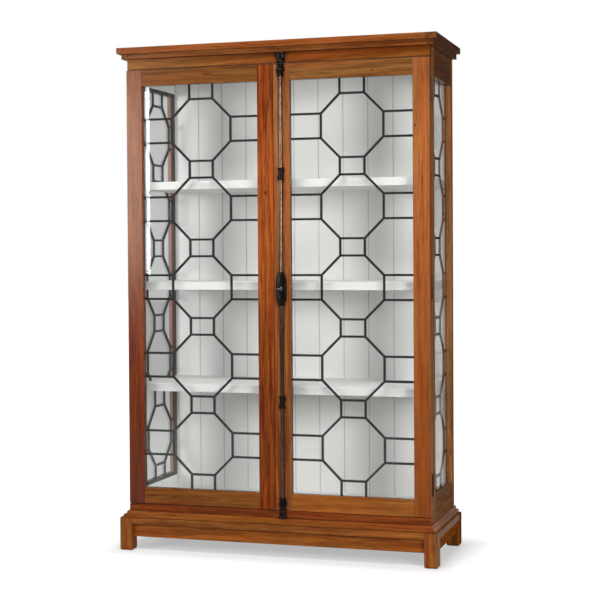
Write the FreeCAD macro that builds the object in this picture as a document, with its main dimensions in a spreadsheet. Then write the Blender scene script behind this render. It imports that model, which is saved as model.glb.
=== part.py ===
import FreeCAD, Part
import math
import os
import Sketcher

# A tall two-door display cabinet. Hardwood frames hold glass backed by flat steel grilles of
# octagons, the inside is boarded and shelved, and a bolt on the right door locks it top and bottom.
# X runs across the front, Y from front to back and Z up. The origin is on the floor, under the
# middle of the whole cabinet. Every body is measured from the door face, so its own Y is the
# distance behind the doors.

os.makedirs("parts", exist_ok=True)
doc = FreeCAD.newDocument("display_cabinet")

# Driving sizes in millimetres
SIZES = {
    # the whole cabinet
    "cabinet_height": 2286,
    "body_width": 1404,
    "body_depth": 512,
    # cornice and frieze
    "cap_thick": 27.5,
    "cap_overhang": 37.5,
    "cove_thick": 23.5,
    "cove_overhang": 20,
    "cornice_seat_width": 12,
    "frieze_height": 46.5,
    "frieze_setback": 10,
    # base
    "base_reveal_height": 32.5,
    "step_height": 13.5,
    "low_step_overhang": 22,
    "high_step_overhang": 10,
    "leg_height": 150,
    "leg_width": 60,
    "leg_edge_radius": 5,
    "foot_edge_radius": 10,
    "plinth_overhang": 35,
    "band_height": 27,
    "apron_height": 61,
    "apron_thick": 20,
    "front_apron_setback": 22,
    "side_apron_setback": 14,
    # doors
    "door_gap": 3,
    "door_thick": 36,
    "door_clearance": 2,
    "door_stile_width": 73.5,
    "door_rail_height": 74,
    # side frames
    "side_thick": 36,
    "side_front_stile_width": 57.5,
    "side_rear_stile_width": 35.5,
    # frame joints
    "tenon_thick": 12,
    "tenon_setback": 9,
    "tenon_shoulder_height": 12,
    "door_tenon_length": 45,
    "side_tenon_length": 22,
    "joint_clearance": 0.2,
    # glazing
    "lip_depth": 23.5,
    "rabbet_width": 15,
    "glazing_clearance": 1,
    "glass_thick": 4,
    # grilles
    "grille_thick": 8,
    "grille_bar_width": 9.8,
    "grille_edge_width": 13,
    "octagon_height": 279,
    "octagon_side_height": 108,
    "octagon_flat_width": 111,
    "door_octagon_width": 282,
    "side_octagon_width": 272,
    "link_length": 75.4,
    # inside
    "board_thick": 14,
    "board_groove_depth": 2.5,
    "floor_thick": 18,
    "floor_rise_height": 2.5,
    "ceiling_drop_height": 1.5,
    "shelf_thick": 36,
    "shelf_setback": 65,
    "shelf_side_gap": 0.5,
    "lower_shelf_height": 757,
    "middle_shelf_height": 1222,
    "upper_shelf_height": 1679,
    "shelf_pin_radius": 2.5,
    "shelf_pin_reach": 10,
    "shelf_pin_margin": 1,
    # hinges
    "hinge_length": 100,
    "hinge_inset": 135,
    "hinge_axis_offset": 0.5,
    "leaf_thick": 2,
    "leaf_width": 25,
    "knuckle_radius": 4.5,
    "door_knuckle_length": 40,
    "knuckle_gap": 0.3,
    "notch_clearance": 0.5,
    "hinge_pin_radius": 2,
    "hinge_pin_clearance": 0.05,
    # door bolt
    "bolt_inset": 34,
    "bolt_height": 979.5,
    "rod_width": 16,
    "rod_depth": 11,
    "rod_clearance": 0.3,
    "rod_end_inset": 2,
    "guide_length": 56,
    "guide_inset": 29.5,
    "guide_plate_width": 36,
    "guide_plate_thick": 2.5,
    "guide_wall_thick": 3,
    "guide_ring_radius": 16,
    "guide_ring_height": 7,
    "bead_radius": 20,
    "bead_tube_radius": 5,
    "case_width": 48,
    "case_end_width": 24,
    "case_height": 148,
    "case_depth": 17,
    "case_edge_radius": 3,
    "case_margin": 1,
    "crank_radius": 10,
    "crank_pin_radius": 2,
    "crank_rim_width": 2,
    "crank_thick": 4,
    "crank_gap": 0.4,
    "slot_clearance": 0.4,
    "yoke_thick": 4,
    "yoke_inner_reach": 3,
    "yoke_outer_reach": 16,
    "yoke_border_width": 4,
    "yoke_bridge_height": 13,
    "shaft_radius": 4,
    "shaft_clearance": 0.05,
    "shaft_seat_length": 12,
    "handle_reach": 52,
    "knob_width": 42,
    "knob_height": 15,
    "knob_thick": 18,
    "knob_neck_radius": 6,
    "knob_collar_radius": 10,
    "knob_collar_thick": 3,
    "keeper_wide_end_width": 44,
    "keeper_narrow_end_width": 30,
    "keeper_depth": 15,
    "keeper_gap": 1.5,
    "keeper_socket_depth": 14,
    # screws of the bolt guides
    "screw_offset": 14.5,
    "screw_rise": 12,
    "screw_head_radius": 2.5,
    "screw_head_thick": 1.5,
    "screw_radius": 1.5,
    # cuts run past the wood by this much
    "cut_overrun": 1,
}
BOARDS = 11
MIDDLE_GUIDE_SHARE = 0.526
QUARTER_TURN = 90

sheet = doc.addObject("Spreadsheet::Sheet", "sizes")
for row, (alias, number) in enumerate(SIZES.items(), start=1):
    sheet.set(f"A{row}", alias)
    sheet.set(f"B{row}", str(number))
    sheet.setAlias(f"B{row}", alias)
doc.recompute()

# Places worked out from the sizes
face = "((sizes.handle_reach - sizes.body_depth) / 2)"
half = "(sizes.body_width / 2)"
inner_half = f"({half} - sizes.side_thick)"
depth = "sizes.body_depth"
frame_front = "(sizes.door_thick + sizes.door_clearance)"
board_front = f"({depth} - sizes.board_thick)"
cornice_foot = "(sizes.cabinet_height - sizes.cap_thick - sizes.cove_thick)"
frieze_foot = f"({cornice_foot} - sizes.frieze_height)"
door_top = f"({frieze_foot} - sizes.door_gap)"
plinth_top = "sizes.leg_height"
step_top = f"({plinth_top} + 2 * sizes.step_height)"
base_top = f"({step_top} + sizes.base_reveal_height)"
door_foot = f"({base_top} + sizes.door_gap)"
door_height = f"({door_top} - {door_foot})"
window_low = f"({door_foot} + sizes.door_rail_height)"
window_high = f"({door_top} - sizes.door_rail_height)"
window_height = f"({window_high} - {window_low})"
glazing_reach = "(sizes.rabbet_width - sizes.glazing_clearance)"
floor_top = f"({base_top} + sizes.floor_rise_height)"
ceiling = f"({frieze_foot} - sizes.ceiling_drop_height)"
SIDES = (("right", 1), ("left", -1))


def value(text):
    """The number that an expression of the sheet comes to."""
    return float(sheet.evalExpression(text))


def place(item, x, y, z):
    """Tie the position of an object or a feature to the sheet."""
    item.setExpression(".Placement.Base.x", x)
    item.setExpression(".Placement.Base.y", y)
    item.setExpression(".Placement.Base.z", z)


def new_body(name, foot="0", x="0", turn=0):
    """An empty body on the door face plane, its foot at the given height."""
    body = doc.addObject("PartDesign::Body", name)
    body.Placement = FreeCAD.Placement(FreeCAD.Vector(), FreeCAD.Rotation(FreeCAD.Vector(0, 0, 1), turn))
    place(body, x, face, foot)
    return body


def across(side, inner, outer):
    """A stretch of X from the middle outwards, on the right (1) or the left (-1)."""
    if side > 0:
        return inner, outer
    return f"-({outer})", f"-({inner})"


def about(half_length, middle="0"):
    """A stretch that reaches half_length to both sides of its middle."""
    return f"{middle} - ({half_length})", f"{middle} + ({half_length})"


def block(body, x, y, z, cut=False):
    """Add or cut a box that fills the given stretches of X, Y and Z."""
    kind = "PartDesign::SubtractiveBox" if cut else "PartDesign::AdditiveBox"
    box = body.newObject(kind, body.Name + ("_recess" if cut else "_block"))
    box.setExpression("Length", f"{x[1]} - ({x[0]})")
    box.setExpression("Width", f"{y[1]} - ({y[0]})")
    box.setExpression("Height", f"{z[1]} - ({z[0]})")
    place(box, x[0], y[0], z[0])
    return box


ALONG = {
    "x": FreeCAD.Rotation(FreeCAD.Vector(0, 1, 0), QUARTER_TURN),
    "y": FreeCAD.Rotation(FreeCAD.Vector(1, 0, 0), -QUARTER_TURN),
    "z": FreeCAD.Rotation(),
}


def round_bar(body, direction, start, radius, length, cut=False):
    """Add or cut a cylinder that starts at a point and runs along one axis."""
    kind = "PartDesign::SubtractiveCylinder" if cut else "PartDesign::AdditiveCylinder"
    bar = body.newObject(kind, body.Name + ("_bore" if cut else "_round"))
    bar.Placement = FreeCAD.Placement(FreeCAD.Vector(), ALONG[direction])
    bar.setExpression("Radius", radius)
    bar.setExpression("Height", length)
    place(bar, *start)
    return bar


def tapered_block(body, x_front, x_back, y, z):
    """Add a block whose width changes from its front to its back."""
    wedge = body.newObject("PartDesign::AdditiveWedge", body.Name + "_taper")
    limits = {
        "Xmin": x_front[0], "Xmax": x_front[1], "X2min": x_back[0], "X2max": x_back[1],
        "Ymin": y[0], "Ymax": y[1],
        "Zmin": z[0], "Zmax": z[1], "Z2min": z[0], "Z2max": z[1],
    }
    for name, text in limits.items():
        wedge.setExpression(name, text)
    return wedge


def group(name, members):
    """Several separate solids that share one node."""
    together = doc.addObject("Part::Compound", name)
    together.Links = members
    return together


def edge_names(shape, wanted):
    """The names of a shape's edges that pass a test."""
    return [f"Edge{number}" for number, edge in enumerate(shape.Edges, start=1) if wanted(edge)]


# Cornice: the side mouldings run through to the front, and the front moulding fits between them.
cornice_inner = f"({half} - sizes.cornice_seat_width)"


def cornice_tiers(body, x_of, back):
    """The cove and the cap above it, each reaching further out."""
    tiers = (
        ("sizes.cove_overhang", "0", "sizes.cove_thick"),
        ("sizes.cap_overhang", "sizes.cove_thick", "(sizes.cove_thick + sizes.cap_thick)"),
    )
    for overhang, low, high in tiers:
        block(body, x_of(overhang), (f"(sizes.frieze_setback - {overhang})", back), (low, high))


cornice_front = new_body("cornice_front", cornice_foot)
cornice_tiers(cornice_front, lambda overhang: about(cornice_inner), frame_front)
for label, side in SIDES:
    cornice_side = new_body(f"cornice_{label}", cornice_foot)
    cornice_tiers(cornice_side, lambda overhang: across(side, cornice_inner, f"({half} + {overhang})"), depth)

frieze_rail = new_body("frieze_rail", frieze_foot)
block(frieze_rail, about(half), ("sizes.frieze_setback", frame_front), ("0", "sizes.frieze_height"))

top_panel = new_body("top_panel", ceiling)
block(top_panel, about(inner_half), (frame_front, board_front), ("0", "sizes.floor_thick"))

# Base rail with a stepped moulding that is mitred at the front corners.
base_rail = new_body("base_rail", plinth_top)
block(base_rail, about(half), ("0", frame_front), ("0", f"{base_top} - {plinth_top}"))

STEPS = (
    ("sizes.low_step_overhang", "0", "sizes.step_height"),
    ("sizes.high_step_overhang", "sizes.step_height", "2 * sizes.step_height"),
)
moulding_front = new_body("base_moulding_front", plinth_top)
for overhang, low, high in STEPS:
    mitred = about(f"{half} + {overhang}")
    tapered_block(moulding_front, mitred, about(half), (f"-{overhang}", "0"), (low, high))

# A side moulding is drawn as if it lay along the front, then turned a quarter round.
for label, side in SIDES:
    moulding = new_body(f"base_moulding_{label}", plinth_top, f"{side} * {half}", -QUARTER_TURN * side)
    for overhang, low, high in STEPS:
        wall = ("-" + depth, "0") if side > 0 else ("0", depth)
        edge = ("-" + depth, overhang) if side > 0 else (f"-{overhang}", depth)
        tapered_block(moulding, wall, edge, ("0", overhang), (low, high))

# Plinth: four square legs, a band between their tops and an apron set back under each band.
leg_outer = f"({half} + sizes.plinth_overhang)"
leg_inner = f"({leg_outer} - sizes.leg_width)"
leg_rows = {
    "front": ("-sizes.plinth_overhang", "(sizes.leg_width - sizes.plinth_overhang)"),
    "rear": (f"({depth} - sizes.leg_width)", depth),
}
legs = []
for row_name, row_y in leg_rows.items():
    for label, side in SIDES:
        leg = new_body(f"leg_{row_name}_{label}")
        block(leg, across(side, leg_inner, leg_outer), row_y, ("0", "sizes.leg_height"))
        legs.append(leg)
doc.recompute()


def upright(edge):
    """True for a vertical edge."""
    return abs(edge.tangentAt(edge.FirstParameter).z) > math.cos(math.radians(1))


def on_floor(edge):
    """True for an edge that lies on the floor."""
    return edge.BoundBox.ZMax < value("sizes.leg_edge_radius") / 2


for radius, wanted in (("sizes.leg_edge_radius", upright), ("sizes.foot_edge_radius", on_floor)):
    for leg in legs:
        before = leg.Tip
        rounding = leg.newObject("PartDesign::Fillet", leg.Name + "_rounding")
        rounding.Base = (before, edge_names(before.Shape, wanted))
        rounding.setExpression("Radius", radius)
    doc.recompute()

band_low = f"({plinth_top} - sizes.band_height)"
apron_low = f"({band_low} - sizes.apron_height)"
bands = []
for row_name, row_y in leg_rows.items():
    band = new_body(f"band_{row_name}", band_low)
    block(band, about(leg_inner), row_y, ("0", "sizes.band_height"))
    bands.append(band)
for label, side in SIDES:
    band = new_body(f"band_{label}", band_low)
    between = (leg_rows["front"][1], leg_rows["rear"][0])
    block(band, across(side, leg_inner, leg_outer), between, ("0", "sizes.band_height"))
    bands.append(band)
    apron = new_body(f"apron_{label}", apron_low)
    apron_outer = f"({leg_outer} - sizes.side_apron_setback)"
    block(apron, across(side, f"({apron_outer} - sizes.apron_thick)", apron_outer), between,
          ("0", "sizes.apron_height"))
group("plinth_bands", bands)

front_apron_y = "(sizes.front_apron_setback - sizes.plinth_overhang)"
apron_front = new_body("apron_front", apron_low)
block(apron_front, about(leg_inner), (front_apron_y, f"{front_apron_y} + sizes.apron_thick"),
      ("0", "sizes.apron_height"))
rear_apron_y = f"({depth} - sizes.front_apron_setback)"
apron_rear = new_body("apron_rear", apron_low)
block(apron_rear, about(leg_inner), (f"{rear_apron_y} - sizes.apron_thick", rear_apron_y),
      ("0", "sizes.apron_height"))

# Inside: floor, shelves on pins, and a back of upright boards with a V groove at each joint.
floor_panel = new_body("floor_panel", f"{floor_top} - sizes.floor_thick")
block(floor_panel, about(inner_half), (frame_front, board_front), ("0", "sizes.floor_thick"))

board_width = f"(2 * {inner_half} / {BOARDS})"
back_height = f"({cornice_foot} - {plinth_top})"
boards = []
for number in range(BOARDS):
    board = new_body(f"back_board_{number + 1}", plinth_top, f"{number} * {board_width} - {inner_half}")
    grooved = ("sizes.board_groove_depth", f"{board_width} - sizes.board_groove_depth")
    groove_end = f"{board_front} + sizes.board_groove_depth"
    tapered_block(board, grooved, ("0", board_width), (board_front, groove_end), ("0", back_height))
    block(board, ("0", board_width), (groove_end, depth), ("0", back_height))
    boards.append(board)
group("back_boards", boards)

SHELVES = {"upper": "sizes.upper_shelf_height", "middle": "sizes.middle_shelf_height", "lower": "sizes.lower_shelf_height"}
front_pin_y = "(sizes.shelf_setback + sizes.shelf_pin_radius + sizes.shelf_pin_margin)"
rear_pin_y = f"({board_front} - sizes.shelf_pin_radius - sizes.shelf_pin_margin)"
pin_rows = {"front": front_pin_y, "rear": rear_pin_y}
shelf_pins = []
for shelf_name, shelf_top in SHELVES.items():
    shelf = new_body(f"shelf_{shelf_name}", f"{shelf_top} - sizes.shelf_thick")
    block(shelf, about(f"{inner_half} - sizes.shelf_side_gap"), ("sizes.shelf_setback", board_front),
          ("0", "sizes.shelf_thick"))
    pin_z = f"{shelf_top} - sizes.shelf_thick - sizes.shelf_pin_radius"
    for row_name, pin_y in pin_rows.items():
        for label, side in SIDES:
            pin = new_body(f"shelf_pin_{shelf_name}_{row_name}_{label}", pin_z)
            pin_x = across(side, f"{inner_half} - sizes.shelf_pin_reach", f"{inner_half} + sizes.shelf_pin_reach")
            round_bar(pin, "x", (pin_x[0], pin_y, "0"), "sizes.shelf_pin_radius", "2 * sizes.shelf_pin_reach")
            shelf_pins.append(pin)
group("shelf_pins", shelf_pins)


def grille(name, window_width, octagon_width):
    """One flat steel net: an outer rectangle with a hole for every gap of the octagon pattern.

    It is drawn upright about its own middle, with its front at Y zero, and holds as many
    octagons as the window is high enough for.
    """
    bar = value("sizes.grille_bar_width")
    reach_x = value(f"{window_width} / 2 + {glazing_reach}")
    reach_z = value(f"{window_height} / 2 + {glazing_reach}")
    edge = value("sizes.grille_edge_width") - bar / 2
    side_x = reach_x - edge
    end_z = reach_z - edge
    corner_x = value(octagon_width) / 2
    corner_z = value("sizes.octagon_side_height") / 2
    flat_x = value("sizes.octagon_flat_width") / 2
    flat_z = value("sizes.octagon_height") / 2
    period = value("sizes.octagon_height + sizes.link_length")
    octagons = int((value(window_height) + value("sizes.link_length")) // period)
    lowest = -period * (octagons - 1) / 2

    octagon = [(flat_x, -flat_z), (corner_x, -corner_z), (corner_x, corner_z), (flat_x, flat_z)]
    octagon += [(-x, z) for x, z in reversed(octagon)]
    panel = [(corner_x, -corner_z), (side_x, -corner_z), (side_x, corner_z), (corner_x, corner_z)]
    holes = []
    for number in range(octagons):
        middle = lowest + number * period
        holes.append([(x, z + middle) for x, z in octagon])
        holes.append([(x, z + middle) for x, z in panel])
        holes.append([(-x, z + middle) for x, z in reversed(panel)])
    for number in range(octagons + 1):
        above = lowest + number * period
        below = above - period
        is_first = number == 0
        is_last = number == octagons
        low = -end_z if is_first else below + flat_z
        high = end_z if is_last else above - flat_z
        holes.append([(-flat_x, low), (flat_x, low), (flat_x, high), (-flat_x, high)])
        spandrel = [(flat_x, high), (flat_x, low)]
        spandrel += [(side_x, -end_z)] if is_first else [(corner_x, below + corner_z), (side_x, below + corner_z)]
        spandrel += [(side_x, end_z)] if is_last else [(side_x, above - corner_z), (corner_x, above - corner_z)]
        holes.append(spandrel)
        holes.append([(-x, z) for x, z in reversed(spandrel)])

    outline = [(-reach_x, -reach_z), (reach_x, -reach_z), (reach_x, reach_z), (-reach_x, reach_z)]
    wires = [flat_wire(outline)] + [flat_wire(inset(hole, bar / 2)) for hole in holes]
    net = Part.makeFace(wires, "Part::FaceMakerBullseye")
    feature = doc.addObject("Part::Feature", name)
    feature.Shape = net.extrude(FreeCAD.Vector(0, value("sizes.grille_thick"), 0))
    return feature


def inset(points, distance):
    """An anticlockwise polygon whose edges have all moved inwards by one distance."""
    moved = []
    for number, (x, z) in enumerate(points):
        last_x, last_z = points[number - 1]
        next_x, next_z = points[(number + 1) % len(points)]
        in_length = math.hypot(x - last_x, z - last_z)
        out_length = math.hypot(next_x - x, next_z - z)
        ix, iz = (x - last_x) / in_length, (z - last_z) / in_length
        ox, oz = (next_x - x) / out_length, (next_z - z) / out_length
        turn = ix * oz - iz * ox
        moved.append((x + distance * (ix - ox) / -turn, z + distance * (iz - oz) / -turn))
    return moved


def flat_wire(points):
    """A closed wire through points of the XZ plane."""
    corners = [FreeCAD.Vector(x, 0, z) for x, z in points]
    return Part.makePolygon(corners + corners[:1])


# Hinges: three to a door. The axis runs just outside the corner between the door and the side.
hinge_x = f"({half} + sizes.hinge_axis_offset)"
hinge_y = "(sizes.door_thick + sizes.door_clearance / 2)"
hinge_heights = (
    f"({door_foot} + sizes.hinge_inset)",
    f"(({door_foot} + {door_top}) / 2)",
    f"({door_top} - sizes.hinge_inset)",
)
hinge_half = "(sizes.hinge_length / 2)"
notch_radius = "(sizes.knuckle_radius + sizes.notch_clearance)"
pin_bore = "(sizes.hinge_pin_radius + sizes.hinge_pin_clearance)"


def hinge_leaf(name, side, height, y, knuckles):
    """A leaf with its knuckles; the plate stops short of the other leaf's knuckles."""
    leaf = new_body(name, height)
    plate_end = f"({hinge_x} - {notch_radius})"
    block(leaf, across(side, f"{half} - sizes.leaf_width", plate_end), y, about(hinge_half))
    for low, high in knuckles:
        block(leaf, across(side, plate_end, hinge_x), y, (low, high))
        round_bar(leaf, "z", (f"{side} * {hinge_x}", hinge_y, low), "sizes.knuckle_radius", f"{high} - ({low})")
    bore_start = (f"{side} * {hinge_x}", hinge_y, f"-{hinge_half}")
    round_bar(leaf, "z", bore_start, pin_bore, "sizes.hinge_length", cut=True)
    return leaf


def hinge_recesses(stile, foot, side, y):
    """Cut the beds of the leaves and the notches of the knuckles into a stile."""
    reach = f"({hinge_half} + sizes.joint_clearance)"
    for height in hinge_heights:
        middle = f"({height} - {foot})"
        bed = across(side, f"{half} - sizes.leaf_width - sizes.joint_clearance", f"{half} + sizes.cut_overrun")
        block(stile, bed, y, about(reach, middle), cut=True)
        start = (f"{side} * {hinge_x}", hinge_y, f"{middle} - {reach}")
        round_bar(stile, "z", start, notch_radius, f"2 * {reach}", cut=True)


door_knuckle = "(sizes.door_knuckle_length / 2)"
frame_knuckle = f"({door_knuckle} + sizes.knuckle_gap)"
door_leaf_y = ("(sizes.door_thick - sizes.leaf_thick)", "sizes.door_thick")
frame_leaf_y = (frame_front, f"({frame_front} + sizes.leaf_thick)")
frame_leaves = []
hinge_pins = []
for label, side in SIDES:
    door_leaves = []
    for number, height in enumerate(hinge_heights, start=1):
        name = f"{label}_door_leaf_{number}"
        door_leaves.append(hinge_leaf(name, side, height, door_leaf_y, [about(door_knuckle)]))
        name = f"{label}_frame_leaf_{number}"
        ends = [(f"-{hinge_half}", f"-{frame_knuckle}"), (frame_knuckle, hinge_half)]
        frame_leaves.append(hinge_leaf(name, side, height, frame_leaf_y, ends))
        hinge_pin = new_body(f"{label}_hinge_pin_{number}", height)
        start = (f"{side} * {hinge_x}", hinge_y, f"-{hinge_half}")
        round_bar(hinge_pin, "z", start, "sizes.hinge_pin_radius", "sizes.hinge_length")
        hinge_pins.append(hinge_pin)
    group(f"{label}_door_hinge_leaves", door_leaves)
group("hinge_frame_leaves", frame_leaves)
group("hinge_pins", hinge_pins)

# Side frames: two stiles and two rails with tenons, glass on the lip and the grille behind it.
side_window_front = f"({frame_front} + sizes.side_front_stile_width)"
side_window_rear = f"({depth} - sizes.side_rear_stile_width)"
side_window_width = f"({side_window_rear} - {side_window_front})"
frame_height = f"({cornice_foot} - {plinth_top})"
rabbet_x = (f"({inner_half} - sizes.cut_overrun)", f"({half} - sizes.lip_depth)")
tenon_x = (f"({half} - sizes.tenon_setback - sizes.tenon_thick)", f"({half} - sizes.tenon_setback)")
side_rails = {
    "bottom": ("0", f"({window_low} - {plinth_top})"),
    "top": (f"({window_high} - {plinth_top})", frame_height),
}


def widened(stretch):
    """A stretch made longer by the joint clearance at both ends."""
    return f"{stretch[0]} - sizes.joint_clearance", f"{stretch[1]} + sizes.joint_clearance"


def shouldered(stretch):
    """A stretch made shorter by the tenon shoulder at both ends."""
    return f"{stretch[0]} + sizes.tenon_shoulder_height", f"{stretch[1]} - sizes.tenon_shoulder_height"


def side_stile(name, side, y, window_edge, inwards, pin_y):
    """One upright of a side frame. inwards is 1 where its wood lies behind the window edge, else -1."""
    stile = new_body(name, plinth_top)
    block(stile, across(side, inner_half, half), y, ("0", frame_height))
    rabbet_end = f"{window_edge} + {inwards} * sizes.rabbet_width"
    mortise_end = f"{window_edge} + {inwards} * (sizes.side_tenon_length + sizes.joint_clearance)"
    open_end = f"{window_edge} - {inwards} * sizes.cut_overrun"
    rabbet_y = (open_end, rabbet_end) if inwards > 0 else (rabbet_end, open_end)
    mortise_y = (open_end, mortise_end) if inwards > 0 else (mortise_end, open_end)
    rabbet_z = (
        f"{window_low} - {plinth_top} - sizes.rabbet_width",
        f"{window_high} - {plinth_top} + sizes.rabbet_width",
    )
    block(stile, across(side, *rabbet_x), rabbet_y, rabbet_z, cut=True)
    for rail_z in side_rails.values():
        block(stile, across(side, *widened(tenon_x)), mortise_y, widened(shouldered(rail_z)), cut=True)
    hole_depth = "(sizes.shelf_pin_reach + sizes.joint_clearance)"
    for shelf_top in SHELVES.values():
        hole_z = f"{shelf_top} - sizes.shelf_thick - sizes.shelf_pin_radius - {plinth_top}"
        hole_x = across(side, f"({inner_half} - sizes.cut_overrun)", f"({inner_half} + {hole_depth})")
        round_bar(stile, "x", (hole_x[0], pin_y, hole_z), "(sizes.shelf_pin_radius + sizes.joint_clearance)",
                  f"{hole_x[1]} - ({hole_x[0]})", cut=True)
    return stile


for label, side in SIDES:
    front_y = (frame_front, side_window_front)
    front_stile = side_stile(f"{label}_side_front_stile", side, front_y, side_window_front, -1, front_pin_y)
    hinge_recesses(front_stile, plinth_top, side, (f"{frame_front} - sizes.cut_overrun", frame_leaf_y[1]))
    side_stile(f"{label}_side_rear_stile", side, (side_window_rear, depth), side_window_rear, 1, rear_pin_y)
    for rail_name, rail_z in side_rails.items():
        rail = new_body(f"{label}_side_{rail_name}_rail", plinth_top)
        block(rail, across(side, inner_half, half), (side_window_front, side_window_rear), rail_z)
        if rail_name == "bottom":
            rabbet_z = (f"{rail_z[1]} - sizes.rabbet_width", f"{rail_z[1]} + sizes.cut_overrun")
        else:
            rabbet_z = (f"{rail_z[0]} - sizes.cut_overrun", f"{rail_z[0]} + sizes.rabbet_width")
        run_past = (f"{side_window_front} - sizes.cut_overrun", f"{side_window_rear} + sizes.cut_overrun")
        block(rail, across(side, *rabbet_x), run_past, rabbet_z, cut=True)
        tenon_y = (f"{side_window_front} - sizes.side_tenon_length", f"{side_window_rear} + sizes.side_tenon_length")
        block(rail, across(side, *tenon_x), tenon_y, shouldered(rail_z))
    pane = new_body(f"{label}_side_glass", f"{window_low} - {glazing_reach}")
    pane_x = (f"{half} - sizes.lip_depth - sizes.glass_thick", f"{half} - sizes.lip_depth")
    pane_y = (f"{side_window_front} - {glazing_reach}", f"{side_window_rear} + {glazing_reach}")
    block(pane, across(side, *pane_x), pane_y, ("0", f"{window_height} + 2 * {glazing_reach}"))
    net = grille(f"{label}_side_grille", side_window_width, "sizes.side_octagon_width")
    net.Placement = FreeCAD.Placement(FreeCAD.Vector(), FreeCAD.Rotation(FreeCAD.Vector(0, 0, 1), QUARTER_TURN * side))
    net_middle = f"{face} + ({side_window_front} + {side_window_rear}) / 2"
    place(net, f"{side} * ({pane_x[0]})", net_middle, f"({window_low} + {window_high}) / 2")

# Doors: the same build as the side frames, with the hinges in the outer stile.
door_near = "(sizes.door_gap / 2)"
window_near = f"({door_near} + sizes.door_stile_width)"
window_far = f"({half} - sizes.door_stile_width)"
door_rabbet_y = ("sizes.lip_depth", "(sizes.door_thick + sizes.cut_overrun)")
door_tenon_y = ("sizes.tenon_setback", "(sizes.tenon_setback + sizes.tenon_thick)")
door_rails = {
    "bottom": ("0", "sizes.door_rail_height"),
    "top": (f"({door_height} - sizes.door_rail_height)", door_height),
}


def door_stile(name, side, x, window_edge, inwards):
    """One upright of a door. inwards is 1 where its wood lies outside the window edge, else -1."""
    stile = new_body(name, door_foot)
    block(stile, across(side, *x), ("0", "sizes.door_thick"), ("0", door_height))
    rabbet_end = f"({window_edge} + {inwards} * sizes.rabbet_width)"
    mortise_end = f"({window_edge} + {inwards} * (sizes.door_tenon_length + sizes.joint_clearance))"
    open_end = f"({window_edge} - {inwards} * sizes.cut_overrun)"
    cut_x = (open_end, rabbet_end) if inwards > 0 else (rabbet_end, open_end)
    mortise_x = (open_end, mortise_end) if inwards > 0 else (mortise_end, open_end)
    rabbet_z = (f"sizes.door_rail_height - sizes.rabbet_width", f"{door_height} - sizes.door_rail_height + sizes.rabbet_width")
    block(stile, across(side, *cut_x), door_rabbet_y, rabbet_z, cut=True)
    for rail_z in door_rails.values():
        block(stile, across(side, *mortise_x), widened(door_tenon_y), widened(shouldered(rail_z)), cut=True)
    return stile


meeting_stiles = {}
for label, side in SIDES:
    hinge_stile = door_stile(f"{label}_door_hinge_stile", side, (window_far, half), window_far, 1)
    bed_y = (door_leaf_y[0], "sizes.door_thick + sizes.cut_overrun")
    hinge_recesses(hinge_stile, door_foot, side, bed_y)
    meeting_stiles[label] = door_stile(
        f"{label}_door_meeting_stile", side, (door_near, window_near), window_near, -1)
    for rail_name, rail_z in door_rails.items():
        rail = new_body(f"{label}_door_{rail_name}_rail", door_foot)
        block(rail, across(side, window_near, window_far), ("0", "sizes.door_thick"), rail_z)
        if rail_name == "bottom":
            rabbet_z = (f"{rail_z[1]} - sizes.rabbet_width", f"{rail_z[1]} + sizes.cut_overrun")
        else:
            rabbet_z = (f"{rail_z[0]} - sizes.cut_overrun", f"{rail_z[0]} + sizes.rabbet_width")
        run_past = across(side, f"{window_near} - sizes.cut_overrun", f"{window_far} + sizes.cut_overrun")
        block(rail, run_past, door_rabbet_y, rabbet_z, cut=True)
        tenon_x_door = across(side, f"{window_near} - sizes.door_tenon_length", f"{window_far} + sizes.door_tenon_length")
        block(rail, tenon_x_door, door_tenon_y, shouldered(rail_z))
    pane = new_body(f"{label}_door_glass", f"{window_low} - {glazing_reach}")
    pane_x = across(side, f"{window_near} - {glazing_reach}", f"{window_far} + {glazing_reach}")
    pane_y = ("sizes.lip_depth", "sizes.lip_depth + sizes.glass_thick")
    block(pane, pane_x, pane_y, ("0", f"{window_height} + 2 * {glazing_reach}"))
    net = grille(f"{label}_door_grille", f"({window_far} - {window_near})", "sizes.door_octagon_width")
    place(net, f"{side} * ({window_near} + {window_far}) / 2", f"{face} + {pane_y[1]}",
          f"({window_low} + {window_high}) / 2")

# Door bolt: a knob turns a crank, whose two pins drive a rod up and a rod down.
# Each of its bodies is measured from the bolt's own axis.
bolt_x = "(sizes.door_gap / 2 + sizes.bolt_inset)"
bolt_z = f"({door_foot} + sizes.bolt_height)"
rod_back = "(-sizes.rod_clearance)"
rod_flat = "(sizes.rod_depth - sizes.rod_width / 2)"
rod_centre = f"({rod_back} - {rod_flat})"
rod_half = "(sizes.rod_width / 2)"
channel_half = f"({rod_half} + sizes.slot_clearance)"
pin_height = "(sizes.crank_radius * sqrt(2) / 2)"
pin_reach = "(sizes.crank_pin_radius + sizes.slot_clearance)"


def rod_channel(body, z):
    """Cut the passage that a rod slides in, open towards the door."""
    block(body, about(channel_half), (rod_centre, "sizes.cut_overrun"), z, cut=True)
    round_bar(body, "z", ("0", rod_centre, z[0]), channel_half, f"{z[1]} - ({z[0]})", cut=True)


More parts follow.
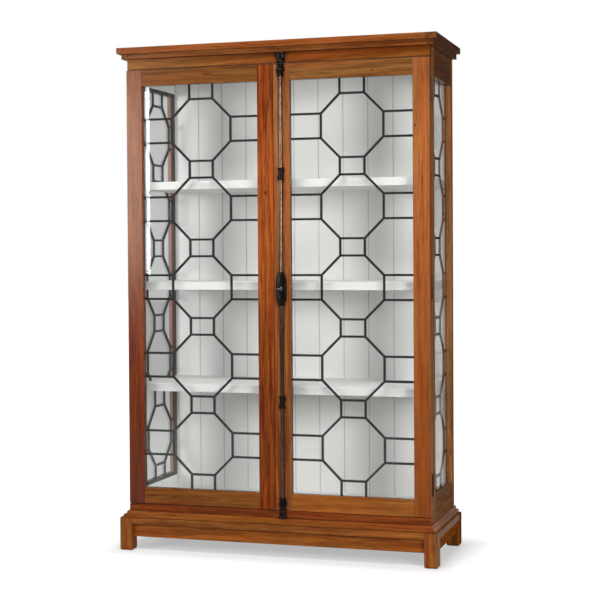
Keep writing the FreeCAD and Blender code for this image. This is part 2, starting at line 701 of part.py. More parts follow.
def bolt_rod(name, way, length):
    """A rod of D section with a slotted yoke; way is 1 upwards and -1 downwards."""
    rod = new_body(name, bolt_z, bolt_x)
    bridge_low = f"({pin_height} + {pin_reach} + sizes.yoke_border_width + sizes.yoke_inner_reach)"
    bridge_high = f"({bridge_low} + sizes.yoke_bridge_height)"
    rod_z = across(way, bridge_low, length)
    round_bar(rod, "z", ("0", rod_centre, rod_z[0]), rod_half, f"{rod_z[1]} - ({rod_z[0]})")
    block(rod, about(rod_half), (rod_centre, rod_back), rod_z)
    block(rod, about(rod_half), (rod_back, f"{rod_back} + sizes.rod_width"), rod_z, cut=True)
    yoke_y = (f"{rod_back} - sizes.yoke_thick", rod_back)
    block(rod, across(way, f"-{rod_half}", "sizes.yoke_outer_reach"), yoke_y, across(way, bridge_low, bridge_high))
    arm_end = f"(-{pin_height} - {pin_reach} - sizes.yoke_border_width)"
    block(rod, across(way, "sizes.yoke_inner_reach", "sizes.yoke_outer_reach"), yoke_y, across(way, arm_end, bridge_high))
    slot_z = across(way, f"(-{pin_height} - {pin_reach})", f"(-{pin_height} + {pin_reach})")
    slot_x = across(way, f"({pin_height} - {pin_reach})", f"(sizes.crank_radius + {pin_reach})")
    block(rod, slot_x, (f"{rod_back} - sizes.rod_width", "sizes.cut_overrun"), slot_z, cut=True)
    return rod


bolt_rod("upper_rod", 1, f"({door_top} - sizes.rod_end_inset - {bolt_z})")
bolt_rod("lower_rod", -1, f"({bolt_z} - {door_foot} - sizes.rod_end_inset)")

# Guides hold the rods to the stile; the two at the door's ends carry a round bead.
guide_half = "(sizes.guide_length / 2)"
top_guide = f"({door_top} - sizes.guide_inset)"
bottom_guide = f"({door_foot} + sizes.guide_inset)"
GUIDES = {
    "top": (top_guide, True),
    "upper": (f"({bolt_z} + {MIDDLE_GUIDE_SHARE} * ({top_guide} - {bolt_z}))", False),
    "lower": (f"({bolt_z} - {MIDDLE_GUIDE_SHARE} * ({bolt_z} - {bottom_guide}))", False),
    "bottom": (bottom_guide, True),
}
guides = []
screws = []
screw_bite = "(sizes.tenon_setback - sizes.cut_overrun)"
for guide_name, (guide_z, beaded) in GUIDES.items():
    guide = new_body(f"guide_{guide_name}", guide_z, bolt_x)
    block(guide, about("sizes.guide_plate_width / 2"), ("-sizes.guide_plate_thick", "0"), about(guide_half))
    barrel = f"({channel_half} + sizes.guide_wall_thick)"
    round_bar(guide, "z", ("0", rod_centre, f"-{guide_half}"), barrel, "sizes.guide_length")
    for ring_z in (f"-{guide_half}", f"{guide_half} - sizes.guide_ring_height"):
        round_bar(guide, "z", ("0", rod_centre, ring_z), "sizes.guide_ring_radius", "sizes.guide_ring_height")
    if beaded:
        bead = guide.newObject("PartDesign::AdditiveTorus", guide.Name + "_bead")
        bead.setExpression("Radius1", "sizes.bead_radius - sizes.bead_tube_radius")
        bead.setExpression("Radius2", "sizes.bead_tube_radius")
        place(bead, "0", rod_centre, "0")
    block(guide, about("sizes.bead_radius + sizes.cut_overrun"), ("0", "sizes.bead_radius"), about(guide_half), cut=True)
    rod_channel(guide, (f"-{guide_half} - sizes.cut_overrun", f"{guide_half} + sizes.cut_overrun"))
    for end in (1, -1):
        screw_x = f"{end} * sizes.screw_offset"
        screw_z = f"{end} * sizes.screw_rise"
        hole_start = (screw_x, "-sizes.guide_plate_thick - sizes.cut_overrun", screw_z)
        hole = "(sizes.screw_radius + sizes.joint_clearance)"
        round_bar(guide, "y", hole_start, hole, "sizes.guide_plate_thick + 2 * sizes.cut_overrun", cut=True)
        screw = new_body(f"guide_screw_{guide_name}_{end + 2}", guide_z, bolt_x)
        head_start = (screw_x, "-sizes.guide_plate_thick - sizes.screw_head_thick", screw_z)
        round_bar(screw, "y", head_start, "sizes.screw_head_radius", "sizes.screw_head_thick")
        shank_start = (screw_x, "-sizes.guide_plate_thick", screw_z)
        round_bar(screw, "y", shank_start, "sizes.screw_radius", f"sizes.guide_plate_thick + {screw_bite}")
        screws.append(screw)
        stile_hole = (f"{bolt_x} + {screw_x}", "-sizes.cut_overrun", f"{guide_z} - {door_foot} + {screw_z}")
        hole_depth = f"sizes.cut_overrun + {screw_bite} + sizes.joint_clearance"
        round_bar(meeting_stiles["right"], "y", stile_hole, hole, hole_depth, cut=True)
    guides.append(guide)
group("cremone_guides", guides)
group("cremone_screws", screws)

# The case is a spindle-shaped cover: two arcs between two short ends, hollowed from the door side.
case = new_body("cremone_case", bolt_z, bolt_x)
front_plane = next(plane for plane in case.Origin.OriginFeatures if plane.Role == "XZ_Plane")
outline = case.newObject("Sketcher::SketchObject", "cremone_case_outline")
outline.AttachmentSupport = (front_plane, [""])
outline.MapMode = "FlatFace"
end_half = value("sizes.case_end_width / 2")
case_half = value("sizes.case_height / 2")
bulge = value("(sizes.case_width - sizes.case_end_width) / 2")
arc_radius = (case_half ** 2 + bulge ** 2) / (2 * bulge)
arc_angle = math.asin(case_half / arc_radius)
arc_x = arc_radius - value("sizes.case_width / 2")
up = FreeCAD.Vector(0, 0, 1)


def sketch_point(x, y):
    """A point of a sketch."""
    return FreeCAD.Vector(x, y, 0)


right_arc = Part.Circle(sketch_point(-arc_x, 0), up, arc_radius)
left_arc = Part.Circle(sketch_point(arc_x, 0), up, arc_radius)
outline.addGeometry([
    Part.LineSegment(sketch_point(-end_half, -case_half), sketch_point(end_half, -case_half)),
    Part.ArcOfCircle(right_arc, -arc_angle, arc_angle),
    Part.LineSegment(sketch_point(end_half, case_half), sketch_point(-end_half, case_half)),
    Part.ArcOfCircle(left_arc, math.pi - arc_angle, math.pi + arc_angle),
], False)
# The numbers of a constraint are the edge and its end, 1 for the first and 2 for the second.
# The sketch's own origin is point 1 of edge -1, and its upright axis is edge -2.
outline.addConstraint([
    Sketcher.Constraint("Coincident", 0, 2, 1, 1),
    Sketcher.Constraint("Coincident", 1, 2, 2, 1),
    Sketcher.Constraint("Coincident", 2, 2, 3, 1),
    Sketcher.Constraint("Coincident", 3, 2, 0, 1),
    Sketcher.Constraint("Symmetric", 0, 1, 0, 2, -2),
    Sketcher.Constraint("Symmetric", 2, 1, 2, 2, -2),
    Sketcher.Constraint("Symmetric", 0, 1, 2, 1, -1, 1),
    Sketcher.Constraint("Equal", 1, 3),
])
sketch_sizes = (
    ("ends", ("DistanceX", 0, 1, 0, 2, 2 * end_half), "sizes.case_end_width"),
    ("sides", ("DistanceY", 1, 1, 1, 2, 2 * case_half), "sizes.case_height"),
    ("arcs", ("Radius", 1, arc_radius),
     "(sizes.case_height ^ 2 + (sizes.case_width - sizes.case_end_width) ^ 2)"
     " / (4 * (sizes.case_width - sizes.case_end_width))"),
)
for name, constraint, text in sketch_sizes:
    number = outline.addConstraint(Sketcher.Constraint(*constraint))
    outline.renameConstraint(number, name)
    outline.setExpression(f"Constraints.{name}", text)
cover = case.newObject("PartDesign::Pad", "cremone_case_cover")
cover.Profile = outline
cover.setExpression("Length", "sizes.case_depth")
doc.recompute()
softened = case.newObject("PartDesign::Fillet", "cremone_case_rounding")
softened.Base = (cover, edge_names(cover.Shape, lambda edge: edge.BoundBox.YMax < -value("sizes.case_edge_radius")))
softened.setExpression("Radius", "sizes.case_edge_radius")
rod_channel(case, about("sizes.case_height / 2 + sizes.cut_overrun"))
throw = f"(2 * {pin_height})"
chamber_half = (
    f"({pin_height} + {pin_reach} + sizes.yoke_border_width + sizes.yoke_inner_reach + sizes.yoke_bridge_height"
    f" + {throw} + sizes.case_margin)"
)
channel_depth = f"({channel_half} - {rod_centre})"
block(case, about("sizes.yoke_outer_reach + sizes.case_margin"), (f"-{channel_depth}", "sizes.cut_overrun"),
      about(chamber_half), cut=True)
round_bar(case, "y", ("0", "-sizes.case_depth - sizes.cut_overrun", "0"),
          "(sizes.shaft_radius + sizes.shaft_clearance)", "sizes.case_depth + sizes.cut_overrun", cut=True)

crank = new_body("cremone_crank", bolt_z, bolt_x)
yoke_front = f"({rod_back} - sizes.yoke_thick)"
disc_back = f"({yoke_front} - sizes.crank_gap)"
disc_front = f"({disc_back} - sizes.crank_thick)"
disc_radius = "(sizes.crank_radius + sizes.crank_pin_radius + sizes.crank_rim_width)"
round_bar(crank, "y", ("0", disc_front, "0"), disc_radius, "sizes.crank_thick")
for end in (1, -1):
    pin_start = (f"{end} * {pin_height}", disc_back, f"{-end} * {pin_height}")
    round_bar(crank, "y", pin_start, "sizes.crank_pin_radius", "sizes.yoke_thick")
shaft_front = "(-sizes.case_depth - sizes.shaft_seat_length)"
round_bar(crank, "y", ("0", shaft_front, "0"), "sizes.shaft_radius", f"{disc_front} - {shaft_front}")

knob = new_body("cremone_knob", bolt_z, bolt_x)
knob_back = "(-sizes.case_depth - sizes.rod_clearance)"
knob_middle = "(sizes.knob_thick / 2 - sizes.handle_reach)"
round_bar(knob, "y", ("0", knob_middle, "0"), "sizes.knob_neck_radius", f"{knob_back} - {knob_middle}")
round_bar(knob, "y", ("0", f"{knob_back} - sizes.knob_collar_thick", "0"), "sizes.knob_collar_radius",
          "sizes.knob_collar_thick")
head = knob.newObject("PartDesign::AdditiveEllipsoid", "cremone_knob_head")
head.setExpression("Radius1", "sizes.knob_height / 2")
head.setExpression("Radius2", "sizes.knob_width / 2")
head.setExpression("Radius3", "sizes.knob_thick / 2")
place(head, "0", knob_middle, "0")
round_bar(knob, "y", ("0", f"{shaft_front} - sizes.shaft_clearance", "0"),
          "(sizes.shaft_radius + sizes.shaft_clearance)", f"{knob_back} - {shaft_front} + sizes.cut_overrun", cut=True)

# Keepers: a flared block on the frieze and one on the base rail take the ends of the rods.
upper_keeper = new_body("keeper_upper", f"{frieze_foot} + sizes.keeper_gap", bolt_x)
keeper_height = "(sizes.frieze_height - sizes.keeper_gap)"
lower_keeper = new_body("keeper_lower", step_top, bolt_x)
lower_height = "(sizes.base_reveal_height - sizes.keeper_gap - sizes.rod_end_inset)"
KEEPERS = (
    (upper_keeper, keeper_height, "sizes.frieze_setback", "sizes.keeper_narrow_end_width", "sizes.keeper_wide_end_width"),
    (lower_keeper, lower_height, "0", "sizes.keeper_wide_end_width", "sizes.keeper_narrow_end_width"),
)
for keeper, height, back, low_width, high_width in KEEPERS:
    wedge = tapered_block(keeper, about(f"{low_width} / 2"), about(f"{high_width} / 2"),
                          ("0", height), (f"-{back}", "sizes.keeper_depth"))
    wedge.Placement = FreeCAD.Placement(FreeCAD.Vector(), FreeCAD.Rotation(FreeCAD.Vector(1, 0, 0), QUARTER_TURN))
rod_channel(upper_keeper, ("-sizes.cut_overrun", "sizes.keeper_socket_depth"))
rod_channel(lower_keeper, (f"{lower_height} - sizes.keeper_socket_depth", f"{lower_height} + sizes.cut_overrun"))
group("bolt_keepers", [upper_keeper, lower_keeper])

doc.recompute()

# Every object must have come out sound before anything is written.
for item in doc.Objects:
    if "Invalid" in item.State or "Error" in item.State:
        raise RuntimeError(f"{item.Name} failed: {item.State}")
grouped = [member for item in doc.Objects if item.isDerivedFrom("Part::Compound") for member in item.Links]
kinds = ("PartDesign::Body", "Part::Compound", "Part::Feature")
subparts = [item for item in doc.Objects if item.TypeId in kinds and item not in grouped]
for item in subparts:
    if item.Shape.isNull() or not item.Shape.isValid() or not item.Shape.Solids:
        raise RuntimeError(f"{item.Name} has no sound shape")
for item in subparts:
    item.Shape.exportStep(f"parts/{item.Label}.step")
print(len(subparts), "sub-parts,", sum(len(item.Shape.Solids) for item in subparts), "solids")
bounds = FreeCAD.BoundBox()
for item in subparts:
    bounds.add(item.Shape.BoundBox)
print("bounds", bounds)
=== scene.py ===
import math
from collections import namedtuple
from itertools import count

import bmesh
import bpy
from mathutils import Matrix, Vector


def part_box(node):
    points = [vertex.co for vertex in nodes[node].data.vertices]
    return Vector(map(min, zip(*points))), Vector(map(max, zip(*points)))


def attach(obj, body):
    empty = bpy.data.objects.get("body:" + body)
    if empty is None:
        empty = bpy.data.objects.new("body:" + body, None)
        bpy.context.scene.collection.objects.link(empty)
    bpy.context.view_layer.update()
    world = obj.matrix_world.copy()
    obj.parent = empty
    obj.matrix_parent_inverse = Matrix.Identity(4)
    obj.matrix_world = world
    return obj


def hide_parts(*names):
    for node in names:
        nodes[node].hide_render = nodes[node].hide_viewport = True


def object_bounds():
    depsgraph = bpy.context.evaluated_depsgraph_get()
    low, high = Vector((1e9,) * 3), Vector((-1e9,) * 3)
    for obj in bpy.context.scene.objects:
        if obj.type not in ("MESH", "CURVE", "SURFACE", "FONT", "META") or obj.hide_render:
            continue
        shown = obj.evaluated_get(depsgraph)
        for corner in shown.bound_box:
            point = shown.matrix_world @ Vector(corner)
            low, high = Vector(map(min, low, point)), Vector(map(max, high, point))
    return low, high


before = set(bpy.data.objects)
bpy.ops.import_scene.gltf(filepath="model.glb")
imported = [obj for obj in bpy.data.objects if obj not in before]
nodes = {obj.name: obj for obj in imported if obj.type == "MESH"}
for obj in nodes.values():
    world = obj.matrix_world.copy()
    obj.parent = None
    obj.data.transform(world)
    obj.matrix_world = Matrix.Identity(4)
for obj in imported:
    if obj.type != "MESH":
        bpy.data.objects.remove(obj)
cad_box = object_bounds()

# Plinth: four square legs of reddish-brown hardwood with rounded feet, a moulded band around each
# head and thin aprons set back between them. Every board is sawn from a plank of its own, planed,
# oiled to a low sheen, and has its arrises eased.
MILLIMETRE = 0.001
QUARTER_TURN = math.radians(90.0)
ALONG_X, ALONG_Y, ALONG_Z = (0.0, QUARTER_TURN, 0.0), (QUARTER_TURN, 0.0, 0.0), (0.0, 0.0, 0.0)
ACROSS, INWARD, UP = (1.0, 0.0, 0.0), (0.0, 1.0, 0.0), (0.0, 0.0, 1.0)
ARRIS = 1.2 * MILLIMETRE
WELD_REACH = MILLIMETRE / 100
LOW_SHEEN = 0.1
# Boards are darkened and reddened with painted shade between these heights, as if less light reached low down.
FOOT_SHADE_LOW, FOOT_SHADE_HIGH = 0.2, 1.6
PLANK_STEP = Vector((0.37, 0.23, 1.7))
RING_DRIFT = 0.055
RUDDY_TINT = (1.16, 0.80, 0.62, 1.0)
PORE_BROWN = (0.035, 0.012, 0.005, 1.0)
# A wood's foot shade is how much painted shade darkens its foot.
Wood = namedtuple("Wood", "pale dark figure foot_tone", defaults=(0.3, 1.0))
planks = count(1)


def add_node(tree, kind, settings=None, **values):
    """Add a shader node; settings are its own properties, values are its inputs by name."""
    node = tree.nodes.new(kind)
    for name, setting in (settings or {}).items():
        setattr(node, name, setting)
    for name, value in values.items():
        node.inputs[name.replace("_", " ")].default_value = value
    return node


def feed(tree, value, socket):
    """Give a socket a link or a plain value."""
    if isinstance(value, bpy.types.NodeSocket):
        tree.links.new(value, socket)
    else:
        socket.default_value = value


def math_node(tree, operation, *values):
    """Combine sockets or numbers with one arithmetic step."""
    node = add_node(tree, "ShaderNodeMath", {"operation": operation})
    for socket, value in zip(node.inputs, values):
        feed(tree, value, socket)
    return node.outputs[0]


def vector_node(tree, operation, *values):
    """Combine vectors with one step; returns the node, whose outputs are Vector and Value."""
    node = add_node(tree, "ShaderNodeVectorMath", {"operation": operation})
    for socket, value in zip(node.inputs, values):
        feed(tree, value, socket)
    return node


def drawn_out(tree, vector, along):
    """The pattern coordinates, with the pattern drawn out along Z where along is under 1."""
    return vector_node(tree, "MULTIPLY", vector, (1.0, 1.0, along)).outputs["Vector"]


def noise_value(tree, vector, scale, detail, roughness=0.5, along=1.0):
    """The grey value of a noise texture that may be drawn out along Z."""
    node = add_node(tree, "ShaderNodeTexNoise", Detail=detail, Roughness=roughness)
    feed(tree, scale, node.inputs["Scale"])
    tree.links.new(drawn_out(tree, vector, along), node.inputs["Vector"])
    return node.outputs["Fac"]


def spread(tree, value, low, high, to_low=0.0, to_high=1.0):
    """Map a stretch of a value onto another, clamped at both ends."""
    node = add_node(tree, "ShaderNodeMapRange", {"clamp": True})
    for socket, given in zip(node.inputs, (value, low, high, to_low, to_high)):
        feed(tree, given, socket)
    return node.outputs["Result"]


def blended(tree, factor, first, second, kind="MIX"):
    """Mix two colours, each a socket or a colour."""
    node = add_node(tree, "ShaderNodeMix", {"data_type": "RGBA", "blend_type": kind})
    for value, socket in ((factor, node.inputs["Factor"]), (first, node.inputs[6]), (second, node.inputs[7])):
        feed(tree, value, socket)
    return node.outputs[2]


def new_group(name, inputs, outputs):
    """An empty shader node group with named sockets; returns its tree, input node and output node."""
    tree = bpy.data.node_groups.new(name, "ShaderNodeTree")
    for direction, sockets in (("INPUT", inputs), ("OUTPUT", outputs)):
        for label, kind in sockets.items():
            tree.interface.new_socket(label, in_out=direction, socket_type="NodeSocket" + kind)
    return tree, tree.nodes.new("NodeGroupInput"), tree.nodes.new("NodeGroupOutput")


def place_group(tree, group, vector, **values):
    """Place a node group in a material, with its own values."""
    node = add_node(tree, "ShaderNodeGroup", {"node_tree": group}, **values)
    tree.links.new(vector, node.inputs["Vector"])
    return node


def build_plank_grain():
    """Sawn hardwood whose grain runs along Z: wandering rings, streaks, short dashes, pores and tone."""
    tree, source, result = new_group(
        "plank_grain", {"Vector": "Vector", "Pale Wood": "Color", "Dark Wood": "Color", "Figure": "Float"},
        {"Colour": "Color", "Roughness": "Float", "Height": "Float"})
    straight = source.outputs["Vector"]
    drift = add_node(tree, "ShaderNodeTexNoise", Scale=3.2, Detail=2.0)
    tree.links.new(drawn_out(tree, straight, 0.22), drift.inputs["Vector"])
    wander = (RING_DRIFT, RING_DRIFT, 0.0)
    vector = vector_node(tree, "MULTIPLY_ADD", drift.outputs["Color"], wander, straight).outputs["Vector"]
    rings = add_node(tree, "ShaderNodeTexWave", {"wave_type": "BANDS", "bands_direction": "DIAGONAL"},
                     Scale=17.0, Distortion=3.2, Detail=3.0, Detail_Scale=1.6, Detail_Roughness=0.6)
    tree.links.new(drawn_out(tree, vector, 0.04), rings.inputs["Vector"])
    streaks = noise_value(tree, vector, scale=85.0, detail=5.0, roughness=0.62, along=0.03)
    dashes = noise_value(tree, vector, scale=165.0, detail=3.0, along=0.075)
    hairs = noise_value(tree, vector, scale=270.0, detail=2.0, along=0.02)
    pores = noise_value(tree, vector, scale=560.0, detail=2.0, along=0.05)
    tone = noise_value(tree, straight, scale=6.0, detail=3.0, along=0.2)
    ruddy = noise_value(tree, vector, scale=24.0, detail=3.0, along=0.06)
    darkness = math_node(tree, "MULTIPLY", rings.outputs["Fac"], source.outputs["Figure"])
    for share in (
            spread(tree, tone, 0.34, 0.66, to_low=-0.20, to_high=0.28),
            spread(tree, streaks, 0.38, 0.64, to_high=0.55),
            spread(tree, hairs, 0.36, 0.64, to_low=-0.18, to_high=0.22),
            spread(tree, dashes, 0.50, 0.66, to_high=0.40)):
        darkness = math_node(tree, "ADD", darkness, share)
    darkness = spread(tree, darkness, 0.0, 1.0)
    ground = blended(tree, darkness, source.outputs["Pale Wood"], source.outputs["Dark Wood"])
    warmed = blended(tree, spread(tree, ruddy, 0.40, 0.66, to_high=0.75), ground, RUDDY_TINT, "MULTIPLY")
    pore_mask = spread(tree, pores, 0.60, 0.74)
    pored = blended(tree, math_node(tree, "MULTIPLY", pore_mask, 0.5), warmed, PORE_BROWN)
    worn = spread(tree, streaks, 0.3, 0.7, to_low=0.20, to_high=0.26)
    tree.links.new(pored, result.inputs["Colour"])
    tree.links.new(math_node(tree, "MULTIPLY_ADD", pore_mask, 0.15, worn), result.inputs["Roughness"])
    relief = math_node(tree, "SUBTRACT", math_node(tree, "MULTIPLY", streaks, 0.25), pore_mask)
    tree.links.new(relief, result.inputs["Height"])
    return tree


def build_band():
    """A mask that fades from its strength at one place on an axis to nothing at another."""
    tree, source, result = new_group(
        "band", {"Vector": "Vector", "Axis": "Vector", "Start": "Float", "End": "Float", "Strength": "Float"},
        {"Mask": "Float"})
    given = source.outputs
    reach = vector_node(tree, "DOT_PRODUCT", given["Vector"], given["Axis"]).outputs["Value"]
    mask = spread(tree, reach, given["Start"], given["End"], given["Strength"], 0.0)
    tree.links.new(mask, result.inputs["Mask"])
    return tree


plank_grain = build_plank_grain()
band = build_band()


def set_shader(material, **values):
    """Give the shader of a material plain values, by the names of its inputs."""
    for name, value in values.items():
        material.node_tree.nodes["Principled BSDF"].inputs[name.replace("_", " ")].default_value = value


def made_of(name, finish, strength, depth, grain=ALONG_Z, cut=(0.0, 0.0, 0.0), **values):
    """A material of one finish group, its pattern turned by grain and moved by cut, raised as a relief."""
    material = bpy.data.materials.new(name)
    material.use_nodes = True
    tree = material.node_tree
    surface = tree.nodes["Principled BSDF"]
    mapping = add_node(tree, "ShaderNodeMapping", Location=cut, Rotation=grain)
    tree.links.new(add_node(tree, "ShaderNodeTexCoord").outputs["Object"], mapping.inputs["Vector"])
    pattern = place_group(tree, finish, mapping.outputs["Vector"], **values)
    tree.links.new(pattern.outputs["Colour"], surface.inputs["Base Color"])
    tree.links.new(pattern.outputs["Roughness"], surface.inputs["Roughness"])
    relief = add_node(tree, "ShaderNodeBump", Strength=strength, Distance=depth)
    tree.links.new(pattern.outputs["Height"], relief.inputs["Height"])
    tree.links.new(relief.outputs["Normal"], surface.inputs["Normal"])
    return material


def coat(name, material):
    """Give a carried-over solid its finish in place of the plain one."""
    nodes[name].data.materials.clear()
    nodes[name].data.materials.append(material)


def overlay(name, mask, colour, kind="MIX", **values):
    """Lay a colour over a solid's own where a mask group, placed with its own values, is bright."""
    tree = nodes[name].data.materials[0].node_tree
    surface = tree.nodes["Principled BSDF"]
    own = surface.inputs["Base Color"].links[0].from_socket
    place = add_node(tree, "ShaderNodeTexCoord").outputs["Object"]
    share = place_group(tree, mask, place, **values).outputs["Mask"]
    tree.links.new(blended(tree, share, own, colour, kind), surface.inputs["Base Color"])


def weld(piece):
    """Close the seams between the loose triangles of a carried-over solid."""
    piece.modifiers.new("welded", "WELD").merge_threshold = WELD_REACH


def ease_arrises(piece):
    """Round the sharp edges of a carried-over solid, as a plane or a file leaves them."""
    weld(piece)
    eased = piece.modifiers.new("eased", "BEVEL")
    eased.width = ARRIS
    eased.segments = 2
    eased.limit_method = "ANGLE"
    eased.angle_limit = math.radians(40.0)


def dress_boards(grain, wood, *names):
    """Saw each board from the next plank, with its length along the grain and its foot darkened and reddened
    with painted shade.
    """
    for name in names:
        coat(name, made_of(
            name + "_wood", plank_grain, 0.2, MILLIMETRE / 10, grain, PLANK_STEP * next(planks),
            Pale_Wood=(*wood.pale, 1.0), Dark_Wood=(*wood.dark, 1.0), Figure=wood.figure))
        set_shader(nodes[name].data.materials[0], Specular_IOR_Level=LOW_SHEEN)
        if wood.foot_tone < 1.0:
            # Painted shade: the foot is darkened and turned redder, as if less light reached it.
            low_shade_tint = (wood.foot_tone, wood.foot_tone ** 1.5, wood.foot_tone ** 3, 1.0)
            overlay(name, band, low_shade_tint, "MULTIPLY", Axis=UP, Start=FOOT_SHADE_LOW, End=FOOT_SHADE_HIGH, Strength=1.0)
        ease_arrises(nodes[name])


LEG_WOOD = Wood((0.280, 0.105, 0.021), (0.120, 0.036, 0.007))
APRON_WOOD = Wood((0.325, 0.108, 0.0165), (0.150, 0.043, 0.0065))
dress_boards(ALONG_Z, LEG_WOOD, "leg_front_left", "leg_front_right", "leg_rear_left", "leg_rear_right")
dress_boards(ALONG_X, LEG_WOOD, "plinth_bands")
dress_boards(ALONG_X, APRON_WOOD, "apron_front", "apron_rear")
dress_boards(ALONG_Y, APRON_WOOD, "apron_left", "apron_right")

# Base: a wide rail under the doors and a moulding of two steps, mitred at its front corners and
# glued and pinned around the foot of the carcass. The right return is paler and greyer, with dust
# and a painted highlight where its steps catch the light, and the front's lower edge is darkened
# with painted shade.
BASE_RAIL_WOOD = Wood((0.212, 0.052, 0.0075), (0.092, 0.021, 0.003), figure=0.35)
STEP_WOOD = Wood((0.275, 0.086, 0.0135), (0.118, 0.033, 0.005))
# Paler and greyer wood for the right return: dust, and a painted highlight where its steps catch the light.
DUSTY_LIT_STEP_WOOD = Wood((0.430, 0.250, 0.155), (0.230, 0.120, 0.070))
# Painted shade along the edges of boards, where the gaps and the undersides of the tiers fall dark.
GAP_SHADE_START, GAP_SHADE_END = 1.0 * MILLIMETRE, 3.5 * MILLIMETRE
FROM_BELOW, FROM_ABOVE = 1, -1


def gap_shade_rim(name, side, edge, strength):
    """Darken a board along its lower or upper edge with painted shade, where the gap falls dark."""
    overlay(name, band, PORE_BROWN, Axis=UP, Start=edge + side * GAP_SHADE_START, End=edge + side * GAP_SHADE_END,
            Strength=strength)


dress_boards(ALONG_X, BASE_RAIL_WOOD, "base_rail")
dress_boards(ALONG_X, STEP_WOOD, "base_moulding_front")
dress_boards(ALONG_Y, STEP_WOOD, "base_moulding_left")
dress_boards(ALONG_Y, DUSTY_LIT_STEP_WOOD, "base_moulding_right")
gap_shade_rim("base_moulding_front", FROM_BELOW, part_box("base_moulding_front")[0][2], 0.6)

# Side frames: a narrow stile at the front and at the back with a rail between them at the top and
# the foot, tenoned together. Their inner faces are painted white with the rest of the inside; the
# outer faces are oiled wood, which has dried to a dead surface on the right side.
PAINT = (0.82, 0.82, 0.815, 1.0)
INNER_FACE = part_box("right_side_front_stile")[0][0]
PAINT_EDGE, PAINT_END = INNER_FACE + ARRIS / 2, INNER_FACE + ARRIS * 0.6
LEFT_STILE_WOOD = Wood((0.26, 0.078, 0.022), (0.12, 0.030, 0.008), foot_tone=0.8)
LEFT_RAIL_WOOD = LEFT_STILE_WOOD._replace(foot_tone=1.0)
RIGHT_STILE_WOOD = Wood((0.315, 0.150, 0.060), (0.172, 0.077, 0.028))
RIGHT_TOP_WOOD = Wood((0.165, 0.066, 0.020), (0.088, 0.033, 0.010))
RIGHT_FOOT_WOOD = Wood((0.260, 0.138, 0.073), (0.143, 0.071, 0.034))
dress_boards(ALONG_Z, LEFT_STILE_WOOD, "left_side_front_stile", "left_side_rear_stile")
dress_boards(ALONG_Y, LEFT_RAIL_WOOD, "left_side_top_rail", "left_side_bottom_rail")
dress_boards(ALONG_Z, RIGHT_STILE_WOOD, "right_side_front_stile", "right_side_rear_stile")
dress_boards(ALONG_Y, RIGHT_TOP_WOOD, "right_side_top_rail")
dress_boards(ALONG_Y, RIGHT_FOOT_WOOD, "right_side_bottom_rail")
for side, sign in (("left", -1), ("right", 1)):
    for part in ("front_stile", "rear_stile", "top_rail", "bottom_rail"):
        overlay(f"{side}_side_{part}", band, PAINT, Axis=ACROSS, Start=sign * PAINT_EDGE,
                End=sign * PAINT_END, Strength=1.0)
for name in ("right_side_front_stile", "right_side_rear_stile", "right_side_bottom_rail", "apron_right",
             "leg_rear_right"):
    set_shader(nodes[name].data.materials[0], Specular_IOR_Level=0.0)

# Frieze and cornice: a plain rail over the doors, paler and greyer at its left end with a painted
# sheen and redder towards the right, carries a moulding of two square-edged tiers. The side lengths
# run through to the front, where the joints show as fine upright lines, and painted shade darkens
# the lower edges.
FRIEZE_WOOD = Wood((0.310, 0.132, 0.031), (0.155, 0.062, 0.0125), figure=0.35)
CORNICE_WOOD = Wood((0.220, 0.079, 0.019), (0.106, 0.034, 0.008), figure=0.35)
RETURN_WOOD = Wood((0.130, 0.052, 0.015), (0.065, 0.024, 0.006), figure=0.35)
# Painted sheen: the frieze is pale at its left end and is tinted darker and redder towards the right.
FRIEZE_SHEEN_FADE = (0.60, 0.43, 0.32, 1.0)
SHEEN_GONE_FROM, FULL_SHEEN_FROM = 0.0, -0.70
dress_boards(ALONG_X, FRIEZE_WOOD, "frieze_rail")
dress_boards(ALONG_X, CORNICE_WOOD, "cornice_front")
dress_boards(ALONG_Y, CORNICE_WOOD, "cornice_left")
dress_boards(ALONG_Y, RETURN_WOOD, "cornice_right")
# The painted sheen fades out from the left end towards the middle.
overlay("frieze_rail", band, FRIEZE_SHEEN_FADE, "MULTIPLY", Axis=ACROSS, Start=SHEEN_GONE_FROM,
        End=FULL_SHEEN_FROM, Strength=1.0)
gap_shade_rim("frieze_rail", FROM_BELOW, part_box("frieze_rail")[0][2], 0.7)
gap_shade_rim("cornice_front", FROM_BELOW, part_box("cornice_front")[0][2], 0.6)

# Painted inside: eleven upright boards with a V at each joint form the back; the ceiling and the
# floor are single panels. All are brushed along their length with a satin white paint, which has
# yellowed a little; the joints are darkened with dust and painted shade.
YELLOWED_PAINT = (0.75, 0.745, 0.715, 1.0)
# Dust and painted shade in the V-joints of the back boards.
JOINT_DUST_AND_SHADE = (0.30, 0.30, 0.29, 1.0)
BACK_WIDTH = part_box("back_boards")[1][0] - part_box("back_boards")[0][0]
BOARD_COUNT = 11
JOINT_REACH = 3.0 * MILLIMETRE


def build_brushed_paint():
    """Satin white paint with brush strokes along Z and faint unevenness."""
    tree, source, result = new_group(
        "brushed_paint", {"Vector": "Vector", "Paint": "Color", "Shade": "Color"},
        {"Colour": "Color", "Roughness": "Float", "Height": "Float"})
    strokes = noise_value(tree, source.outputs["Vector"], scale=240.0, detail=4.0, along=0.02)
    patches = noise_value(tree, source.outputs["Vector"], scale=3.0, detail=3.0)
    share = spread(tree, patches, 0.35, 0.75, to_high=0.5)
    colour = blended(tree, share, source.outputs["Paint"], source.outputs["Shade"])
    tree.links.new(colour, result.inputs["Colour"])
    tree.links.new(spread(tree, strokes, 0.3, 0.7, 0.42, 0.55), result.inputs["Roughness"])
    tree.links.new(strokes, result.inputs["Height"])
    return tree


